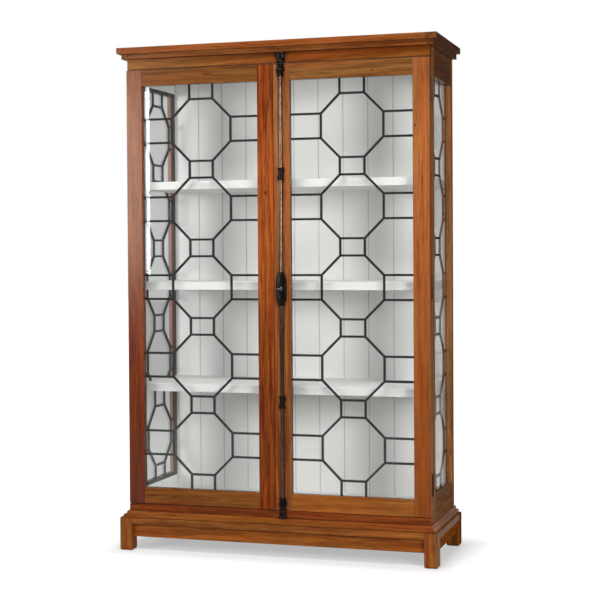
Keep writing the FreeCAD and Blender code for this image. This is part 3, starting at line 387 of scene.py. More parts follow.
def build_board_joints():
    """A mask along the joints of upright boards of one width, laid out from the middle board."""
    tree, source, result = new_group(
        "board_joints", {"Vector": "Vector", "Board": "Float", "Reach": "Float", "Strength": "Float"},
        {"Mask": "Float"})
    given = source.outputs
    half = math_node(tree, "MULTIPLY", given["Board"], 0.5)
    across = vector_node(tree, "DOT_PRODUCT", given["Vector"], ACROSS).outputs["Value"]
    offset = math_node(tree, "PINGPONG", math_node(tree, "ADD", across, half), half)
    tree.links.new(spread(tree, offset, 0.0, given["Reach"], given["Strength"], 0.0), result.inputs["Mask"])
    return tree


brushed_paint = build_brushed_paint()


def dress_painted(grain, *names):
    """Paint carried-over panels, with the strokes along the grain, and ease their edges."""
    for name in names:
        coat(name, made_of(name + "_paint", brushed_paint, 0.25, MILLIMETRE / 5, grain,
                           Paint=PAINT, Shade=YELLOWED_PAINT))
        ease_arrises(nodes[name])


dress_painted(ALONG_Z, "back_boards")
dress_painted(ALONG_X, "floor_panel", "top_panel")
overlay("back_boards", build_board_joints(), JOINT_DUST_AND_SHADE, Board=BACK_WIDTH / BOARD_COUNT, Reach=JOINT_REACH,
        Strength=0.8)

# Shelves: three thick boards, painted as the inside is, lie loose on plain steel pins that stand
# in holes in the side frames. Their front edges are painted darker, a painted shade that tones down
# how brightly they are lit.
# Painted shade on the shelves' lit front edges.
SHADED_FRONT_PAINT = (0.60, 0.60, 0.595, 1.0)
SHADED_FRONT_REACH = 2.0 * MILLIMETRE
PIN_GREY, PIN_DULL = (0.50, 0.50, 0.50, 1.0), (0.34, 0.33, 0.32, 1.0)
SMOOTH_ANGLE = math.radians(32.0)
dress_painted(ALONG_X, "shelf_upper", "shelf_middle", "shelf_lower")
for name in ("shelf_upper", "shelf_middle", "shelf_lower"):
    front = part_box(name)[0][1]
    overlay(name, band, SHADED_FRONT_PAINT, Axis=INWARD, Start=front, End=front + SHADED_FRONT_REACH, Strength=0.9)


def build_smooth_rounds():
    """A modifier that shades turned and rounded faces smoothly and keeps sharp edges sharp."""
    tree = bpy.data.node_groups.new("smooth_rounds", "GeometryNodeTree")
    tree.interface.new_socket("Geometry", in_out="INPUT", socket_type="NodeSocketGeometry")
    tree.interface.new_socket("Geometry", in_out="OUTPUT", socket_type="NodeSocketGeometry")
    source, result = tree.nodes.new("NodeGroupInput"), tree.nodes.new("NodeGroupOutput")
    smooth = add_node(tree, "GeometryNodeSetShadeSmooth", {"domain": "FACE"})
    crisp = add_node(tree, "GeometryNodeSetShadeSmooth", {"domain": "EDGE"}, Shade_Smooth=False)
    angle = add_node(tree, "GeometryNodeInputMeshEdgeAngle")
    steep = math_node(tree, "GREATER_THAN", angle.outputs["Unsigned Angle"], SMOOTH_ANGLE)
    tree.links.new(source.outputs[0], smooth.inputs["Geometry"])
    tree.links.new(smooth.outputs[0], crisp.inputs["Geometry"])
    tree.links.new(steep, crisp.inputs["Selection"])
    tree.links.new(crisp.outputs[0], result.inputs[0])
    return tree


def build_rubbed_metal():
    """A metal finish that is rubbed brighter and smoother in patches and has a fine grit."""
    tree, source, result = new_group(
        "rubbed_metal",
        {"Vector": "Vector", "Dull": "Color", "Rubbed": "Color", "Roughest": "Float", "Smoothest": "Float",
         "Patch Scale": "Float"},
        {"Colour": "Color", "Roughness": "Float", "Height": "Float"})
    given = source.outputs
    patches = noise_value(tree, given["Vector"], given["Patch Scale"], detail=5.0)
    grit = noise_value(tree, given["Vector"], scale=900.0, detail=2.0)
    colour = blended(tree, spread(tree, patches, 0.36, 0.68), given["Dull"], given["Rubbed"])
    tree.links.new(colour, result.inputs["Colour"])
    polish = spread(tree, patches, 0.3, 0.7, given["Roughest"], given["Smoothest"])
    tree.links.new(polish, result.inputs["Roughness"])
    tree.links.new(math_node(tree, "MULTIPLY_ADD", patches, 0.6, grit), result.inputs["Height"])
    return tree


smooth_rounds = build_smooth_rounds()
rubbed_metal = build_rubbed_metal()


def metal(name, metallic, depth=0.2 * MILLIMETRE, **values):
    """Metal with its own colours, polish and patches; metallic is 0 where it is painted."""
    material = made_of(name, rubbed_metal, 0.3, depth, **values)
    set_shader(material, Metallic=metallic)
    return material


def dress_turned(material, *names):
    """Give carried-over metal parts their finish, and shade their round faces smoothly."""
    for name in names:
        coat(name, material)
        weld(nodes[name])
        nodes[name].modifiers.new("rounded", "NODES").node_group = smooth_rounds


pin_steel = metal("plain_steel_pins", 1.0, Dull=PIN_DULL, Rubbed=PIN_GREY, Roughest=0.42, Smoothest=0.28,
                  Patch_Scale=120.0)
dress_turned(pin_steel, "shelf_pins")

# Glazing: clear drawn sheet glass, faintly wavy, lies in the rabbets of the doors and the sides.
# Light passes straight through it for shadows, so that the inside is lit as behind real glass.
GLASS_TINTS = (0.976, 0.984, 0.980, 1.0), (0.986, 0.990, 0.988, 1.0)
glass = bpy.data.materials.new("clear_sheet_glass")
glass.use_nodes = True
glass_tree = glass.node_tree
glass_surface = glass_tree.nodes["Principled BSDF"]
glass_place = add_node(glass_tree, "ShaderNodeTexCoord").outputs["Object"]
draw_lines = noise_value(glass_tree, glass_place, scale=3.5, detail=1.0, along=0.3)
glass_tree.links.new(blended(glass_tree, draw_lines, *GLASS_TINTS), glass_surface.inputs["Base Color"])
waviness = add_node(glass_tree, "ShaderNodeBump", Strength=0.012, Distance=MILLIMETRE)
glass_tree.links.new(draw_lines, waviness.inputs["Height"])
glass_tree.links.new(waviness.outputs["Normal"], glass_surface.inputs["Normal"])
set_shader(glass, Roughness=0.0, IOR=1.5, Transmission_Weight=1.0)
clear = add_node(glass_tree, "ShaderNodeBsdfTransparent", Color=GLASS_TINTS[0])
ray = add_node(glass_tree, "ShaderNodeLightPath")
passing = math_node(glass_tree, "MAXIMUM", ray.outputs["Is Shadow Ray"], ray.outputs["Is Diffuse Ray"])
pane_mix = add_node(glass_tree, "ShaderNodeMixShader")
for value, socket in zip((passing, glass_surface.outputs[0], clear.outputs[0]), pane_mix.inputs):
    glass_tree.links.new(value, socket)
glass_tree.links.new(pane_mix.outputs[0], glass_tree.nodes["Material Output"].inputs["Surface"])
for name in ("left_side_glass", "right_side_glass", "left_door_glass", "right_door_glass"):
    coat(name, glass)

# Grilles: flat steel bars behind the glass, welded into octagons and squares, filed flush and
# painted a near-black satin that is a little uneven.
GRILLE_BLACK, GRILLE_DUSTY = (0.008, 0.009, 0.009, 1.0), (0.018, 0.019, 0.018, 1.0)
grille_paint = metal("black_painted_steel", 0.0, Dull=GRILLE_BLACK, Rubbed=GRILLE_DUSTY, Roughest=0.6,
                     Smoothest=0.45, Patch_Scale=30.0)
set_shader(grille_paint, Specular_IOR_Level=0.25)
for name in ("left_side_grille", "right_side_grille", "left_door_grille", "right_door_grille"):
    coat(name, grille_paint)

# Doors: stiles and rails tenoned together, the left pair of stiles from a redder plank than the
# right pair, and every rail from a browner one. The stiles are darker towards their heads and are
# darkened and reddened towards their feet with painted shade, painted shade lines the top and
# bottom edges, a few small knots show, and the left hinge stile is waxed to a sheen.
RED_STILE = Wood((0.225, 0.045, 0.005), (0.092, 0.0153, 0.002), 0.25, 0.55)
STREAKY_STILE = Wood((0.336, 0.095, 0.0185), (0.111, 0.021, 0.0038), 0.4, 0.62)
UMBER_RAIL = Wood((0.155, 0.068, 0.017), (0.074, 0.029, 0.006), 0.35)
BROWN_RAIL = Wood((0.205, 0.075, 0.0128), (0.098, 0.032, 0.005), 0.35)
AMBER_STILE = Wood((0.318, 0.111, 0.032), (0.182, 0.053, 0.0135), 0.25, 0.66)
WARM_STILE = Wood((0.297, 0.111, 0.036), (0.134, 0.040, 0.010), 0.35, 0.82)
OLIVE_RAIL = Wood((0.195, 0.083, 0.0245), (0.098, 0.038, 0.0097), 0.35)
HONEY_RAIL = Wood((0.280, 0.097, 0.0170), (0.141, 0.044, 0.0068), 0.35)
# The stiles are darker towards their heads, between these heights.
HEAD_DARKENING = (0.72, 0.72, 0.75, 1.0)
HEAD_DARK_FROM, HEAD_CLEAR_BELOW = 2.12, 1.85
WAX_SHEEN, WAX_TINT = 0.42, (1.0, 0.86, 0.68, 1.0)
THROUGH_BOARD = 1000.0
KNOTS = (
    ("left_door_meeting_stile", (-0.037, 1.617), (0.010, 0.013), 0.85),
    ("right_door_hinge_stile", (0.639, 1.895), (0.006, 0.008), 0.8),
    ("right_door_hinge_stile", (0.672, 1.660), (0.004, 0.030), 0.5),
    ("left_door_top_rail", (-0.314, 2.154), (0.026, 0.005), 0.8),
    ("left_door_top_rail", (-0.258, 2.146), (0.040, 0.003), 0.45),
    ("right_door_top_rail", (0.451, 2.138), (0.010, 0.005), 0.7),
    ("left_door_bottom_rail", (-0.587, 0.250), (0.026, 0.004), 0.7),
    ("left_door_bottom_rail", (-0.479, 0.248), (0.030, 0.004), 0.65),
    ("left_door_bottom_rail", (-0.373, 0.257), (0.040, 0.003), 0.5),
)


def build_knot():
    """A mask for a small oval of a board where a knot or a resin streak runs through it."""
    tree, source, result = new_group(
        "knot", {"Vector": "Vector", "Centre": "Vector", "Reach": "Vector", "Strength": "Float"},
        {"Mask": "Float"})
    given = source.outputs
    offset = vector_node(tree, "SUBTRACT", given["Vector"], given["Centre"]).outputs["Vector"]
    share = vector_node(tree, "DIVIDE", offset, given["Reach"]).outputs["Vector"]
    away = vector_node(tree, "LENGTH", share).outputs["Value"]
    tree.links.new(spread(tree, away, 0.35, 1.0, given["Strength"], 0.0), result.inputs["Mask"])
    return tree


dress_boards(ALONG_Z, RED_STILE, "left_door_hinge_stile")
dress_boards(ALONG_Z, STREAKY_STILE, "left_door_meeting_stile")
dress_boards(ALONG_X, UMBER_RAIL, "left_door_top_rail")
dress_boards(ALONG_X, BROWN_RAIL, "left_door_bottom_rail")
dress_boards(ALONG_Z, AMBER_STILE, "right_door_hinge_stile")
dress_boards(ALONG_Z, WARM_STILE, "right_door_meeting_stile")
dress_boards(ALONG_X, OLIVE_RAIL, "right_door_top_rail")
dress_boards(ALONG_X, HONEY_RAIL, "right_door_bottom_rail")
for name in ("left_door_hinge_stile", "left_door_meeting_stile", "right_door_hinge_stile",
             "right_door_meeting_stile"):
    overlay(name, band, HEAD_DARKENING, "MULTIPLY", Axis=UP, Start=HEAD_DARK_FROM, End=HEAD_CLEAR_BELOW, Strength=1.0)
door_low, door_high = (corner[2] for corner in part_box("left_door_hinge_stile"))
# Painted shade along the doors' top and bottom edges, where the gaps fall dark.
for part in ("hinge_stile", "meeting_stile", "top_rail", "bottom_rail"):
    gap_shade_rim("left_door_" + part, FROM_ABOVE, door_high, 0.9)
    gap_shade_rim("left_door_" + part, FROM_BELOW, door_low, 0.9)
    gap_shade_rim("right_door_" + part, FROM_ABOVE, door_high, 0.5)
knot = build_knot()
for name, (centre_x, centre_z), (reach_x, reach_z), strength in KNOTS:
    overlay(name, knot, PORE_BROWN, Centre=(centre_x, 0.0, centre_z), Reach=(reach_x, THROUGH_BOARD, reach_z),
            Strength=strength)
set_shader(nodes["left_door_hinge_stile"].data.materials[0], Specular_IOR_Level=WAX_SHEEN,
           Specular_Tint=WAX_TINT)

# Hinges: butt hinges of brass, chemically darkened, are let into the door and the side frame,
# and only their knuckles stand out at the corner.
BRONZE_DULL, BRONZE_RUBBED = (0.022, 0.015, 0.011, 1.0), (0.055, 0.041, 0.032, 1.0)
darkened_bronze = metal("darkened_bronze", 0.85, Dull=BRONZE_DULL, Rubbed=BRONZE_RUBBED, Roughest=0.42,
                        Smoothest=0.26, Patch_Scale=90.0)
dress_turned(darkened_bronze, "hinge_frame_leaves", "hinge_pins", "left_door_hinge_leaves",
             "right_door_hinge_leaves")

# Bolt rods and screws: D-shaped drawn rods with a flat back slide on the door; the slotted yokes
# and the crank that drive them are hidden in the case. Round-headed screws hold the guides.
ROD_DULL, ROD_RUBBED = (0.072, 0.052, 0.041, 1.0), (0.138, 0.094, 0.070, 1.0)
rod_bronze = metal("drawn_bronze", 0.95, Dull=ROD_DULL, Rubbed=ROD_RUBBED, Roughest=0.21, Smoothest=0.14,
                   Patch_Scale=45.0)
dress_turned(rod_bronze, "upper_rod", "lower_rod", "cremone_crank", "cremone_screws")

# Bolt guides: four cast barrels stand on the meeting stile, each held by two screws in small ears.
# All have a ring at both ends; the ones at the door's ends carry a large bead and two small rings.
FORWARD, UPRIGHT = 1, 2
TURNED_SIDES = 48
BORE = 9.0
BARREL = 11.4
DOOR_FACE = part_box("right_door_meeting_stile")[0][1]
guide_low, guide_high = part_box("cremone_guides")
case_low, case_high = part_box("cremone_case")
BOLT_X = (case_low[0] + case_high[0]) / 2
BOLT_Z = (case_low[2] + case_high[2]) / 2
ROD_AXIS_Y = DOOR_FACE - 3.3 * MILLIMETRE
GUIDE_HALF = 28.0 * MILLIMETRE
EAR_START, EAR_END, EAR_HALF, EAR_THICK = (size * MILLIMETRE for size in (9.4, 18.0, 4.6, 2.5))
SCREW_RISE = 12.0 * MILLIMETRE
MIDDLE_SHARE = 0.526
CAST_DULL, CAST_RUBBED = (0.004, 0.0032, 0.003, 1.0), (0.020, 0.016, 0.0145, 1.0)
CASTING_RELIEF = 1.2 * MILLIMETRE
end_guides = (guide_high[2] - GUIDE_HALF, guide_low[2] + GUIDE_HALF)
middle_guides = [BOLT_Z + MIDDLE_SHARE * (z - BOLT_Z) for z in end_guides]


def turned(name, centre, axis, loops, bored):
    """Draw a ring out along an axis, resizing it from loop to loop, as a turner's profile.

    A loop is the half width across, the other half width and the place along the axis, in
    millimetres. A bored piece is closed onto its first loop, a solid one is capped.
    """
    bpy.ops.object.select_all(action="DESELECT")
    start = Vector(centre)
    start[axis] += loops[0][2] * MILLIMETRE
    turn = ALONG_Z if axis == UPRIGHT else ALONG_Y
    bpy.ops.mesh.primitive_circle_add(
        vertices=TURNED_SIDES, radius=MILLIMETRE, fill_type="NOTHING", location=start, rotation=turn)
    piece = bpy.context.active_object
    piece.name = name
    bpy.ops.object.mode_set(mode="EDIT")
    bpy.ops.mesh.select_mode(type="EDGE")
    bpy.ops.mesh.select_all(action="SELECT")
    size = (1.0, 1.0)
    for step, (across, other, along) in enumerate(loops):
        middle = Vector(centre)
        middle[axis] += along * MILLIMETRE
        if step:
            shift = [0.0, 0.0, 0.0]
            shift[axis] = (along - loops[step - 1][2]) * MILLIMETRE
            bpy.ops.mesh.extrude_region_move(TRANSFORM_OT_translate={"value": shift})
        ratio = [across / size[0], other / size[1], other / size[1]]
        ratio[axis] = 1.0
        bpy.ops.transform.resize(value=ratio, center_override=middle)
        size = (across, other)
    if bored:
        bpy.ops.mesh.select_all(action="SELECT")
        bpy.ops.mesh.remove_doubles(threshold=WELD_REACH)
    else:
        bpy.ops.mesh.edge_face_add()
        bpy.ops.mesh.select_all(action="DESELECT")
        bpy.ops.mesh.select_non_manifold()
        bpy.ops.mesh.edge_face_add()
    bpy.ops.mesh.select_all(action="SELECT")
    bpy.ops.mesh.normals_make_consistent(inside=False)
    bpy.ops.object.mode_set(mode="OBJECT")
    return piece


def cut_flat(piece, plane_y):
    """Saw a piece flat at the face that it stands on and keep its front."""
    bpy.ops.object.mode_set(mode="EDIT")
    bpy.ops.mesh.select_all(action="SELECT")
    bpy.ops.mesh.bisect(plane_co=(0.0, plane_y, 0.0), plane_no=INWARD, use_fill=True, clear_outer=True)
    bpy.ops.object.mode_set(mode="OBJECT")


def softened_block(name, low, high, radius):
    """A block of metal at its size and place with rounded edges."""
    bpy.ops.object.select_all(action="DESELECT")
    middle = [(a + b) / 2 for a, b in zip(low, high)]
    reach = [b - a for a, b in zip(low, high)]
    bpy.ops.mesh.primitive_cube_add(size=1.0, location=middle, scale=reach)
    piece = bpy.context.active_object
    piece.name = name
    bpy.ops.object.transform_apply(location=False, rotation=False, scale=True)
    bpy.ops.object.mode_set(mode="EDIT")
    bpy.ops.mesh.select_all(action="SELECT")
    bpy.ops.mesh.bevel(offset=radius, segments=3, affect="EDGES")
    bpy.ops.object.mode_set(mode="OBJECT")
    return piece


def joined(name, pieces):
    """Join finished parts into one piece whose object stands at the origin."""
    bpy.ops.object.select_all(action="DESELECT")
    for piece in pieces:
        piece.select_set(True)
    bpy.context.view_layer.objects.active = pieces[0]
    if len(pieces) > 1:
        bpy.ops.object.join()
    piece = bpy.context.active_object
    piece.name = name
    bpy.ops.object.transform_apply(location=True, rotation=True, scale=True)
    bpy.ops.object.shade_smooth_by_angle(angle=SMOOTH_ANGLE)
    return piece


def copied(piece, shift):
    """A copy with its own mesh, moved by a shift."""
    twin = piece.copy()
    twin.data = piece.data.copy()
    bpy.context.scene.collection.objects.link(twin)
    twin.location = piece.location + Vector(shift)
    return twin


def fit_bronze(piece, material, body, node):
    """Finish a piece of the bolt in a metal, on its body, in place of its node."""
    piece.data.materials.append(material)
    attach(piece, body)
    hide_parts(node)


RING = (
    (14.0, -28.0), (15.4, -27.2), (16.0, -25.6), (16.0, -23.4), (15.4, -21.8), (14.0, -21.0), (12.6, -20.4))
PLAIN_STEM = ((BARREL, -18.5), (BARREL, 18.5))
HALF_STEM = (
    (BARREL, -18.0), (BARREL, -16.5), (13.2, -15.6), (14.2, -13.8), (13.2, -12.0), (BARREL, -11.2),
    (BARREL, -8.2), (13.6, -7.2), (13.6, -5.4), (17.0, -4.7), (19.2, -2.8))


def mirrored_rows(rows):
    """A half profile's rows for the other half, from the middle outwards."""
    return tuple((radius, -along) for radius, along in reversed(rows))


def round_loops(rows):
    """Loops of a round profile, whose rows are a radius and a place along the axis."""
    return [(radius, radius, along) for radius, along in rows]


BEADED_STEM = (*HALF_STEM, (20.0, 0.0), *mirrored_rows(HALF_STEM))


def bolt_guide(name, centre_z, stem):
    """One guide: a bored barrel of a profile, cut flat at the door, with an ear for each screw."""
    profile = ((BORE, -28.0), *RING, *stem, *mirrored_rows(RING), (BORE, 28.0), (BORE, -28.0))
    barrel = turned(name, (BOLT_X, ROD_AXIS_Y, centre_z), UPRIGHT, round_loops(profile), True)
    cut_flat(barrel, DOOR_FACE)
    ears = []
    for side in (-1, 1):
        near, far = sorted((BOLT_X + side * EAR_START, BOLT_X + side * EAR_END))
        screw_z = centre_z + side * SCREW_RISE
        low = (near, DOOR_FACE - EAR_THICK, screw_z - EAR_HALF)
        high = (far, DOOR_FACE, screw_z + EAR_HALF)
        ears.append(softened_block(name + "_ear", low, high, EAR_THICK / 3))
    return joined(name, [barrel, *ears])


cast_bronze = metal("cast_bronze", 0.9, CASTING_RELIEF, Dull=CAST_DULL, Rubbed=CAST_RUBBED, Roughest=0.40,
                    Smoothest=0.24, Patch_Scale=160.0)
beaded_guide = bolt_guide("beaded_guide", end_guides[0], BEADED_STEM)
plain_guide = bolt_guide("plain_guide", middle_guides[0], PLAIN_STEM)
lower_beaded = copied(beaded_guide, (0.0, 0.0, end_guides[1] - end_guides[0]))
lower_plain = copied(plain_guide, (0.0, 0.0, middle_guides[1] - middle_guides[0]))
fit_bronze(joined("turned_guides", [beaded_guide, plain_guide, lower_plain, lower_beaded]), cast_bronze,
           "right_door", "cremone_guides")

# Bolt case: a cast cover with a full body between two necks, hollow at the back. A raised rim
# runs around its front, a ring collar ends each neck, and a round boss stands under the knob.
CASE_HALF_WIDTH = 24.0
CASE_HALF = (
    (74.0, 12.6), (61.0, 12.6), (57.5, 14.4), (54.0, 18.6), (48.0, 21.6), (38.0, 23.2), (20.0, CASE_HALF_WIDTH))
CASE_DEPTH = 12.5 * MILLIMETRE
CASE_INSETS = ((0.9, 2.0), (1.3, 1.6), (1.6, 0.9), (2.0, 0.0), (0.7, -1.3), (2.6, 0.4), (2.4, 0.9))
CASE_WALL = 1.4 * MILLIMETRE
SHAFT_HOLE = 4.6 * MILLIMETRE
DRILL_LENGTH = 0.1
ROW_REACH = 0.01
COLLAR = (
    (BORE, 66.0), (11.0, 66.0), (12.0, 67.0), (12.6, 69.0), (12.6, 71.5), (12.0, 73.2), (11.0, 74.0),
    (BORE, 74.0), (BORE, 66.0))
COLLAR_SPACING = 140.0 * MILLIMETRE
BOSS = (
    (10.4, -14.0), (14.6, -14.0), (14.6, -17.0), (14.0, -18.2), (12.6, -18.8), (11.2, -18.4), (10.4, -17.4),
    (10.4, -14.0))
case_middle = Vector((BOLT_X, DOOR_FACE, BOLT_Z))
outline = [*CASE_HALF, (0.0, CASE_HALF_WIDTH), *((-height, width) for height, width in reversed(CASE_HALF))]
bpy.ops.object.select_all(action="DESELECT")
bpy.ops.mesh.primitive_grid_add(
    x_subdivisions=2, y_subdivisions=len(outline) - 1, size=2.0, location=case_middle, rotation=ALONG_Y)
case_shell = bpy.context.active_object
case_shell.name = "case_shell"
bpy.ops.object.transform_apply(location=True, rotation=True, scale=True)
bpy.ops.object.mode_set(mode="EDIT")
bpy.ops.mesh.select_mode(type="VERT")
for step, (height, half_width) in enumerate(outline):
    row = BOLT_Z + 1.0 - 2.0 * step / (len(outline) - 1)
    bpy.ops.mesh.select_all(action="DESELECT")
    cover = bmesh.from_edit_mesh(case_shell.data)
    for vertex in cover.verts:
        vertex.select = abs(vertex.co.z - row) < ROW_REACH
    cover.select_flush(True)
    bmesh.update_edit_mesh(case_shell.data)
    bpy.ops.transform.resize(
        value=(half_width * MILLIMETRE, 1.0, 1.0), center_override=(BOLT_X, DOOR_FACE, row))
    bpy.ops.transform.translate(value=(0.0, 0.0, BOLT_Z + height * MILLIMETRE - row))
bpy.ops.mesh.select_mode(type="FACE")
bpy.ops.mesh.select_all(action="SELECT")
bpy.ops.mesh.extrude_region_move(TRANSFORM_OT_translate={"value": (0.0, -CASE_DEPTH, 0.0)})
for width, rise in CASE_INSETS:
    bpy.ops.mesh.inset(thickness=width * MILLIMETRE, depth=0.0)
    bpy.ops.transform.translate(value=(0.0, -rise * MILLIMETRE, 0.0))
bpy.ops.mesh.select_all(action="DESELECT")
cover = bmesh.from_edit_mesh(case_shell.data)
for face in cover.faces:
    end_gap = abs(face.calc_center_median().z - BOLT_Z) - CASE_HALF[0][0] * MILLIMETRE
    face.select = abs(face.normal.z) > 0.9 and abs(end_gap) < MILLIMETRE
bmesh.update_edit_mesh(case_shell.data)
bpy.ops.mesh.delete(type="FACE")
bpy.ops.mesh.select_all(action="SELECT")
bpy.ops.mesh.normals_make_consistent(inside=False)
bpy.ops.object.mode_set(mode="OBJECT")
wall = case_shell.modifiers.new("wall", "SOLIDIFY")
wall.thickness = CASE_WALL
wall.offset = -1.0
bpy.ops.object.modifier_apply(modifier="wall")
bpy.ops.mesh.primitive_cylinder_add(
    vertices=TURNED_SIDES, radius=SHAFT_HOLE, depth=DRILL_LENGTH, location=case_middle, rotation=ALONG_Y)
drill = bpy.context.active_object
bpy.ops.object.select_all(action="DESELECT")
case_shell.select_set(True)
bpy.context.view_layer.objects.active = case_shell
drilled = case_shell.modifiers.new("drilled", "BOOLEAN")
drilled.object = drill
drilled.operation = "DIFFERENCE"
bpy.ops.object.modifier_apply(modifier="drilled")
bpy.data.objects.remove(drill)
upper_collar = turned("case_collar", (BOLT_X, ROD_AXIS_Y, BOLT_Z), UPRIGHT, round_loops(COLLAR), True)
cut_flat(upper_collar, DOOR_FACE)
lower_collar = copied(upper_collar, (0.0, 0.0, -COLLAR_SPACING))
boss = turned("case_boss", case_middle, FORWARD, round_loops(BOSS), True)
fit_bronze(joined("cast_case", [case_shell, upper_collar, lower_collar, boss]), cast_bronze,
           "right_door", "cremone_case")

# Knob: a small oval handle of cast bronze on a turned neck and collar, fixed on the shaft of the
# crank in front of the case. Hands have worn it bright in places.
KNOB_LOOPS = (
    (8.6, 8.6, -17.3), (10.0, 10.0, -17.6), (10.0, 10.0, -19.6), (8.8, 8.8, -20.3), (6.4, 6.4, -21.0),
    (5.4, 5.4, -24.0), (5.6, 5.4, -28.0), (7.0, 5.8, -31.5), (10.5, 6.2, -34.2), (15.0, 6.9, -36.6),
    (18.6, 7.3, -39.0), (20.6, 7.5, -41.6), (21.0, 7.5, -43.6), (20.4, 7.3, -46.0), (18.2, 6.6, -48.4),
    (14.2, 5.2, -50.4), (9.0, 3.4, -51.6), (4.0, 1.6, -52.0),
)
WORN_DULL, WORN_RUBBED = (0.040, 0.033, 0.030, 1.0), (0.13, 0.11, 0.10, 1.0)
worn_bronze = metal("worn_bronze", 0.95, Dull=WORN_DULL, Rubbed=WORN_RUBBED, Roughest=0.34, Smoothest=0.24,
                    Patch_Scale=70.0)
knob = turned("oval_knob", case_middle, FORWARD, KNOB_LOOPS, False)
fit_bronze(joined("oval_knob", [knob]), worn_bronze, "cremone_knob", "cremone_knob")

# Bolt keepers: two flared sockets, one screwed to the frieze over a packing block and one to the
# base rail, take the ends of the rods. Each has a ring at its mouth.
UPPER_HEIGHT, LOWER_HEIGHT = 45.0, 28.7
UPPER_KEEPER = (
    (BORE, BORE, 0.0), (13.4, 10.6, 0.0), (15.0, 11.5, 1.4), (15.0, 11.5, 5.2), (13.6, 10.8, 6.4),
    (13.0, 10.3, 9.0), (14.2, 10.5, 12.0), (17.6, 11.0, 15.2), (20.6, 11.4, 17.4), (22.0, 11.7, 19.6),
    (22.0, 11.7, 42.6), (21.2, 11.4, 44.2), (20.0, 11.0, UPPER_HEIGHT), (BORE, BORE, UPPER_HEIGHT),
    (BORE, BORE, 0.0),
)
LOWER_KEEPER = (
    (BORE, BORE, 0.0), (21.0, 11.2, 0.0), (22.0, 11.7, 1.0), (22.0, 11.7, 4.4), (20.8, 11.3, 5.6),
    (18.0, 10.6, 9.6), (15.6, 10.3, 14.6), (14.0, 10.2, 19.6), (14.0, 10.6, 21.0), (15.4, 11.5, 22.2),
    (15.4, 11.5, 26.6), (14.2, 10.8, 28.0), (13.0, 10.4, LOWER_HEIGHT), (BORE, BORE, LOWER_HEIGHT),
    (BORE, BORE, 0.0),
)
PACKING_HALF, PACKING_EDGE = 16.0 * MILLIMETRE, 1.2 * MILLIMETRE
frieze_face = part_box("frieze_rail")[0][1]
keeper_low, keeper_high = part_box("bolt_keepers")
upper_mouth, lower_mouth = keeper_high[2] - UPPER_HEIGHT * MILLIMETRE, keeper_low[2]
upper_keeper = turned("upper_keeper", (BOLT_X, ROD_AXIS_Y, upper_mouth), UPRIGHT, UPPER_KEEPER, True)
cut_flat(upper_keeper, DOOR_FACE)
packing = softened_block(
    "packing_block", (BOLT_X - PACKING_HALF, DOOR_FACE, upper_mouth),
    (BOLT_X + PACKING_HALF, frieze_face, keeper_high[2]), PACKING_EDGE)
lower_keeper = turned("lower_keeper", (BOLT_X, ROD_AXIS_Y, lower_mouth), UPRIGHT, LOWER_KEEPER, True)
cut_flat(lower_keeper, DOOR_FACE)
fit_bronze(joined("flared_keepers", [upper_keeper, packing, lower_keeper]), cast_bronze,
           "carcass", "bolt_keepers")

# The room: a pale floor that keeps the cabinet's shadow, and a white surround. The camera sees
# both as white. Light that comes through the panes shows a dimmer white, polish mirrors a little
# of it, and only a weak part of the surround lights the cabinet.
WHITE = (1.0, 1.0, 1.0, 1.0)
FLOOR_SIZE = 60.0
FLOOR_GREY = (0.50, 0.50, 0.50, 1.0)
SHADOW_REACH = 0.20
WHITE_UNDER, WHITE_BESIDE = 0.42, 0.80
FAR_START, FAR_END, FAR_WHITE = 0.8, 5.0, 0.34
FLOOR_THROUGH_GLASS, FLOOR_IN_POLISH = 0.15, 0.1
bpy.ops.object.select_all(action="DESELECT")
bpy.ops.mesh.primitive_plane_add(size=FLOOR_SIZE, location=(0.0, 0.0, 0.0))
floor = bpy.context.active_object
floor.name = "studio_floor"
floor_material = bpy.data.materials.new("pale_floor")
floor_material.use_nodes = True
set_shader(floor_material, Base_Color=FLOOR_GREY, Roughness=0.9, Emission_Color=WHITE)
floor_tree = floor_material.node_tree
floor_ray = add_node(floor_tree, "ShaderNodeLightPath").outputs
floor_place = add_node(floor_tree, "ShaderNodeTexCoord").outputs["Object"]
folded = vector_node(floor_tree, "ABSOLUTE", floor_place).outputs["Vector"]
footprint = (cad_box[1][0], cad_box[1][1], 0.0)
beyond = vector_node(floor_tree, "SUBTRACT", folded, footprint).outputs["Vector"]
outside = vector_node(floor_tree, "MAXIMUM", beyond, (0.0, 0.0, 0.0)).outputs["Vector"]
away = vector_node(floor_tree, "LENGTH", outside).outputs["Value"]
near_white = spread(floor_tree, away, 0.0, SHADOW_REACH, WHITE_UNDER, WHITE_BESIDE)
far_white = spread(floor_tree, away, FAR_START, FAR_END, 0.0, FAR_WHITE)
floor_white = math_node(floor_tree, "ADD", near_white, far_white)
seen = math_node(floor_tree, "MULTIPLY_ADD", floor_ray["Is Transmission Ray"], FLOOR_THROUGH_GLASS,
                 floor_ray["Is Camera Ray"])
seen = math_node(floor_tree, "MULTIPLY_ADD", floor_ray["Is Glossy Ray"], FLOOR_IN_POLISH, seen)
floor_glow = floor_tree.nodes["Principled BSDF"].inputs["Emission Strength"]
floor_tree.links.new(math_node(floor_tree, "MULTIPLY", seen, floor_white), floor_glow)
floor.data.materials.append(floor_material)

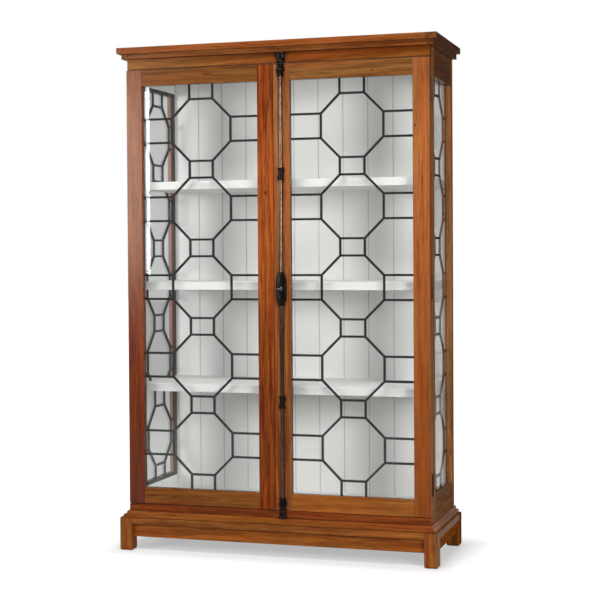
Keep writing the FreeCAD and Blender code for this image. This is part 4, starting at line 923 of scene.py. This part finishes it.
AMBIENT = 0.14
SEEN_THROUGH_GLASS, SEEN_IN_POLISH = 0.55, 0.04
world = bpy.data.worlds.new("studio_surround")
bpy.context.scene.world = world
world.use_nodes = True
world_tree = world.node_tree
world_ray = add_node(world_tree, "ShaderNodeLightPath").outputs
shown = world_ray["Is Camera Ray"]
for kind, share in (("Is Transmission Ray", SEEN_THROUGH_GLASS), ("Is Glossy Ray", SEEN_IN_POLISH),
                    ("Is Diffuse Ray", AMBIENT)):
    part_seen = math_node(world_tree, "MULTIPLY", world_ray[kind], share)
    shown = math_node(world_tree, "MAXIMUM", shown, part_seen)
backdrop = world_tree.nodes["Background"]
world_tree.links.new(shown, backdrop.inputs["Strength"])
backdrop.inputs["Color"].default_value = WHITE

# The lamps: two tall soft boxes stand in front, one to each side, and light the inside past the
# stiles. One hangs overhead and a weak one, which nothing mirrors, fills the back. The left box
# draws the sheen on its stile.
LAMP_WHITE = (1.0, 0.995, 0.985)


def soft_box(name, place, aim, width, height, power):
    """A rectangular lamp at a place, turned towards a point."""
    lamp = bpy.data.lights.new(name, "AREA")
    lamp.shape = "RECTANGLE"
    lamp.size = width
    lamp.size_y = height
    lamp.energy = power
    lamp.color = LAMP_WHITE
    holder = bpy.data.objects.new(name, lamp)
    bpy.context.scene.collection.objects.link(holder)
    towards = Vector(aim) - Vector(place)
    holder.matrix_world = Matrix.Translation(place) @ towards.to_track_quat("-Z", "Y").to_matrix().to_4x4()
    return holder


soft_box("left_box", (-3.336, -4.02, 1.97), (0.0, 0.0, 1.97), width=2.1, height=1.58, power=120.0)
soft_box("right_box", (3.72, -4.25, 2.05), (0.0, 0.0, 2.05), width=1.5, height=1.7, power=176.0)
soft_box("overhead_box", (0.0, -2.8, 4.8), (0.0, 0.0, 1.15), width=2.6, height=1.8, power=160.0)
rear_lamp = soft_box("rear_box", (0.0, 4.8, 3.2), (0.0, 0.0, 1.15), width=2.6, height=1.8, power=75.0)
rear_lamp.visible_glossy = False

# The camera stands to the right of the middle, a little above half height, and looks slightly
# down. It was set by the corners of the cabinet in the photograph.
LENS = 84.85
SENSOR = 36.0
PHOTO_SIZE = 600.0
AXIS_ROW = 277.2
CAMERA_PLACE = (1.9592, -6.1638, 1.3605)
CAMERA_TURN = math.radians(17.22)
CAMERA_PITCH = math.radians(1.07)
CAMERA_ROLL = math.radians(-0.35)
camera_data = bpy.data.cameras.new("photograph_view")
camera_data.lens = LENS
camera_data.sensor_width = SENSOR
camera_data.sensor_fit = "HORIZONTAL"
camera_data.shift_y = (AXIS_ROW - PHOTO_SIZE / 2) / PHOTO_SIZE
camera = bpy.data.objects.new("photograph_view", camera_data)
bpy.context.scene.collection.objects.link(camera)
camera.matrix_world = (
    Matrix.Translation(CAMERA_PLACE)
    @ Matrix.Rotation(CAMERA_TURN, 4, "Z")
    @ Matrix.Rotation(QUARTER_TURN - CAMERA_PITCH, 4, "X")
    @ Matrix.Rotation(CAMERA_ROLL, 4, "Z")
)
bpy.context.scene.camera = camera
bpy.context.scene.view_settings.view_transform = "Standard"
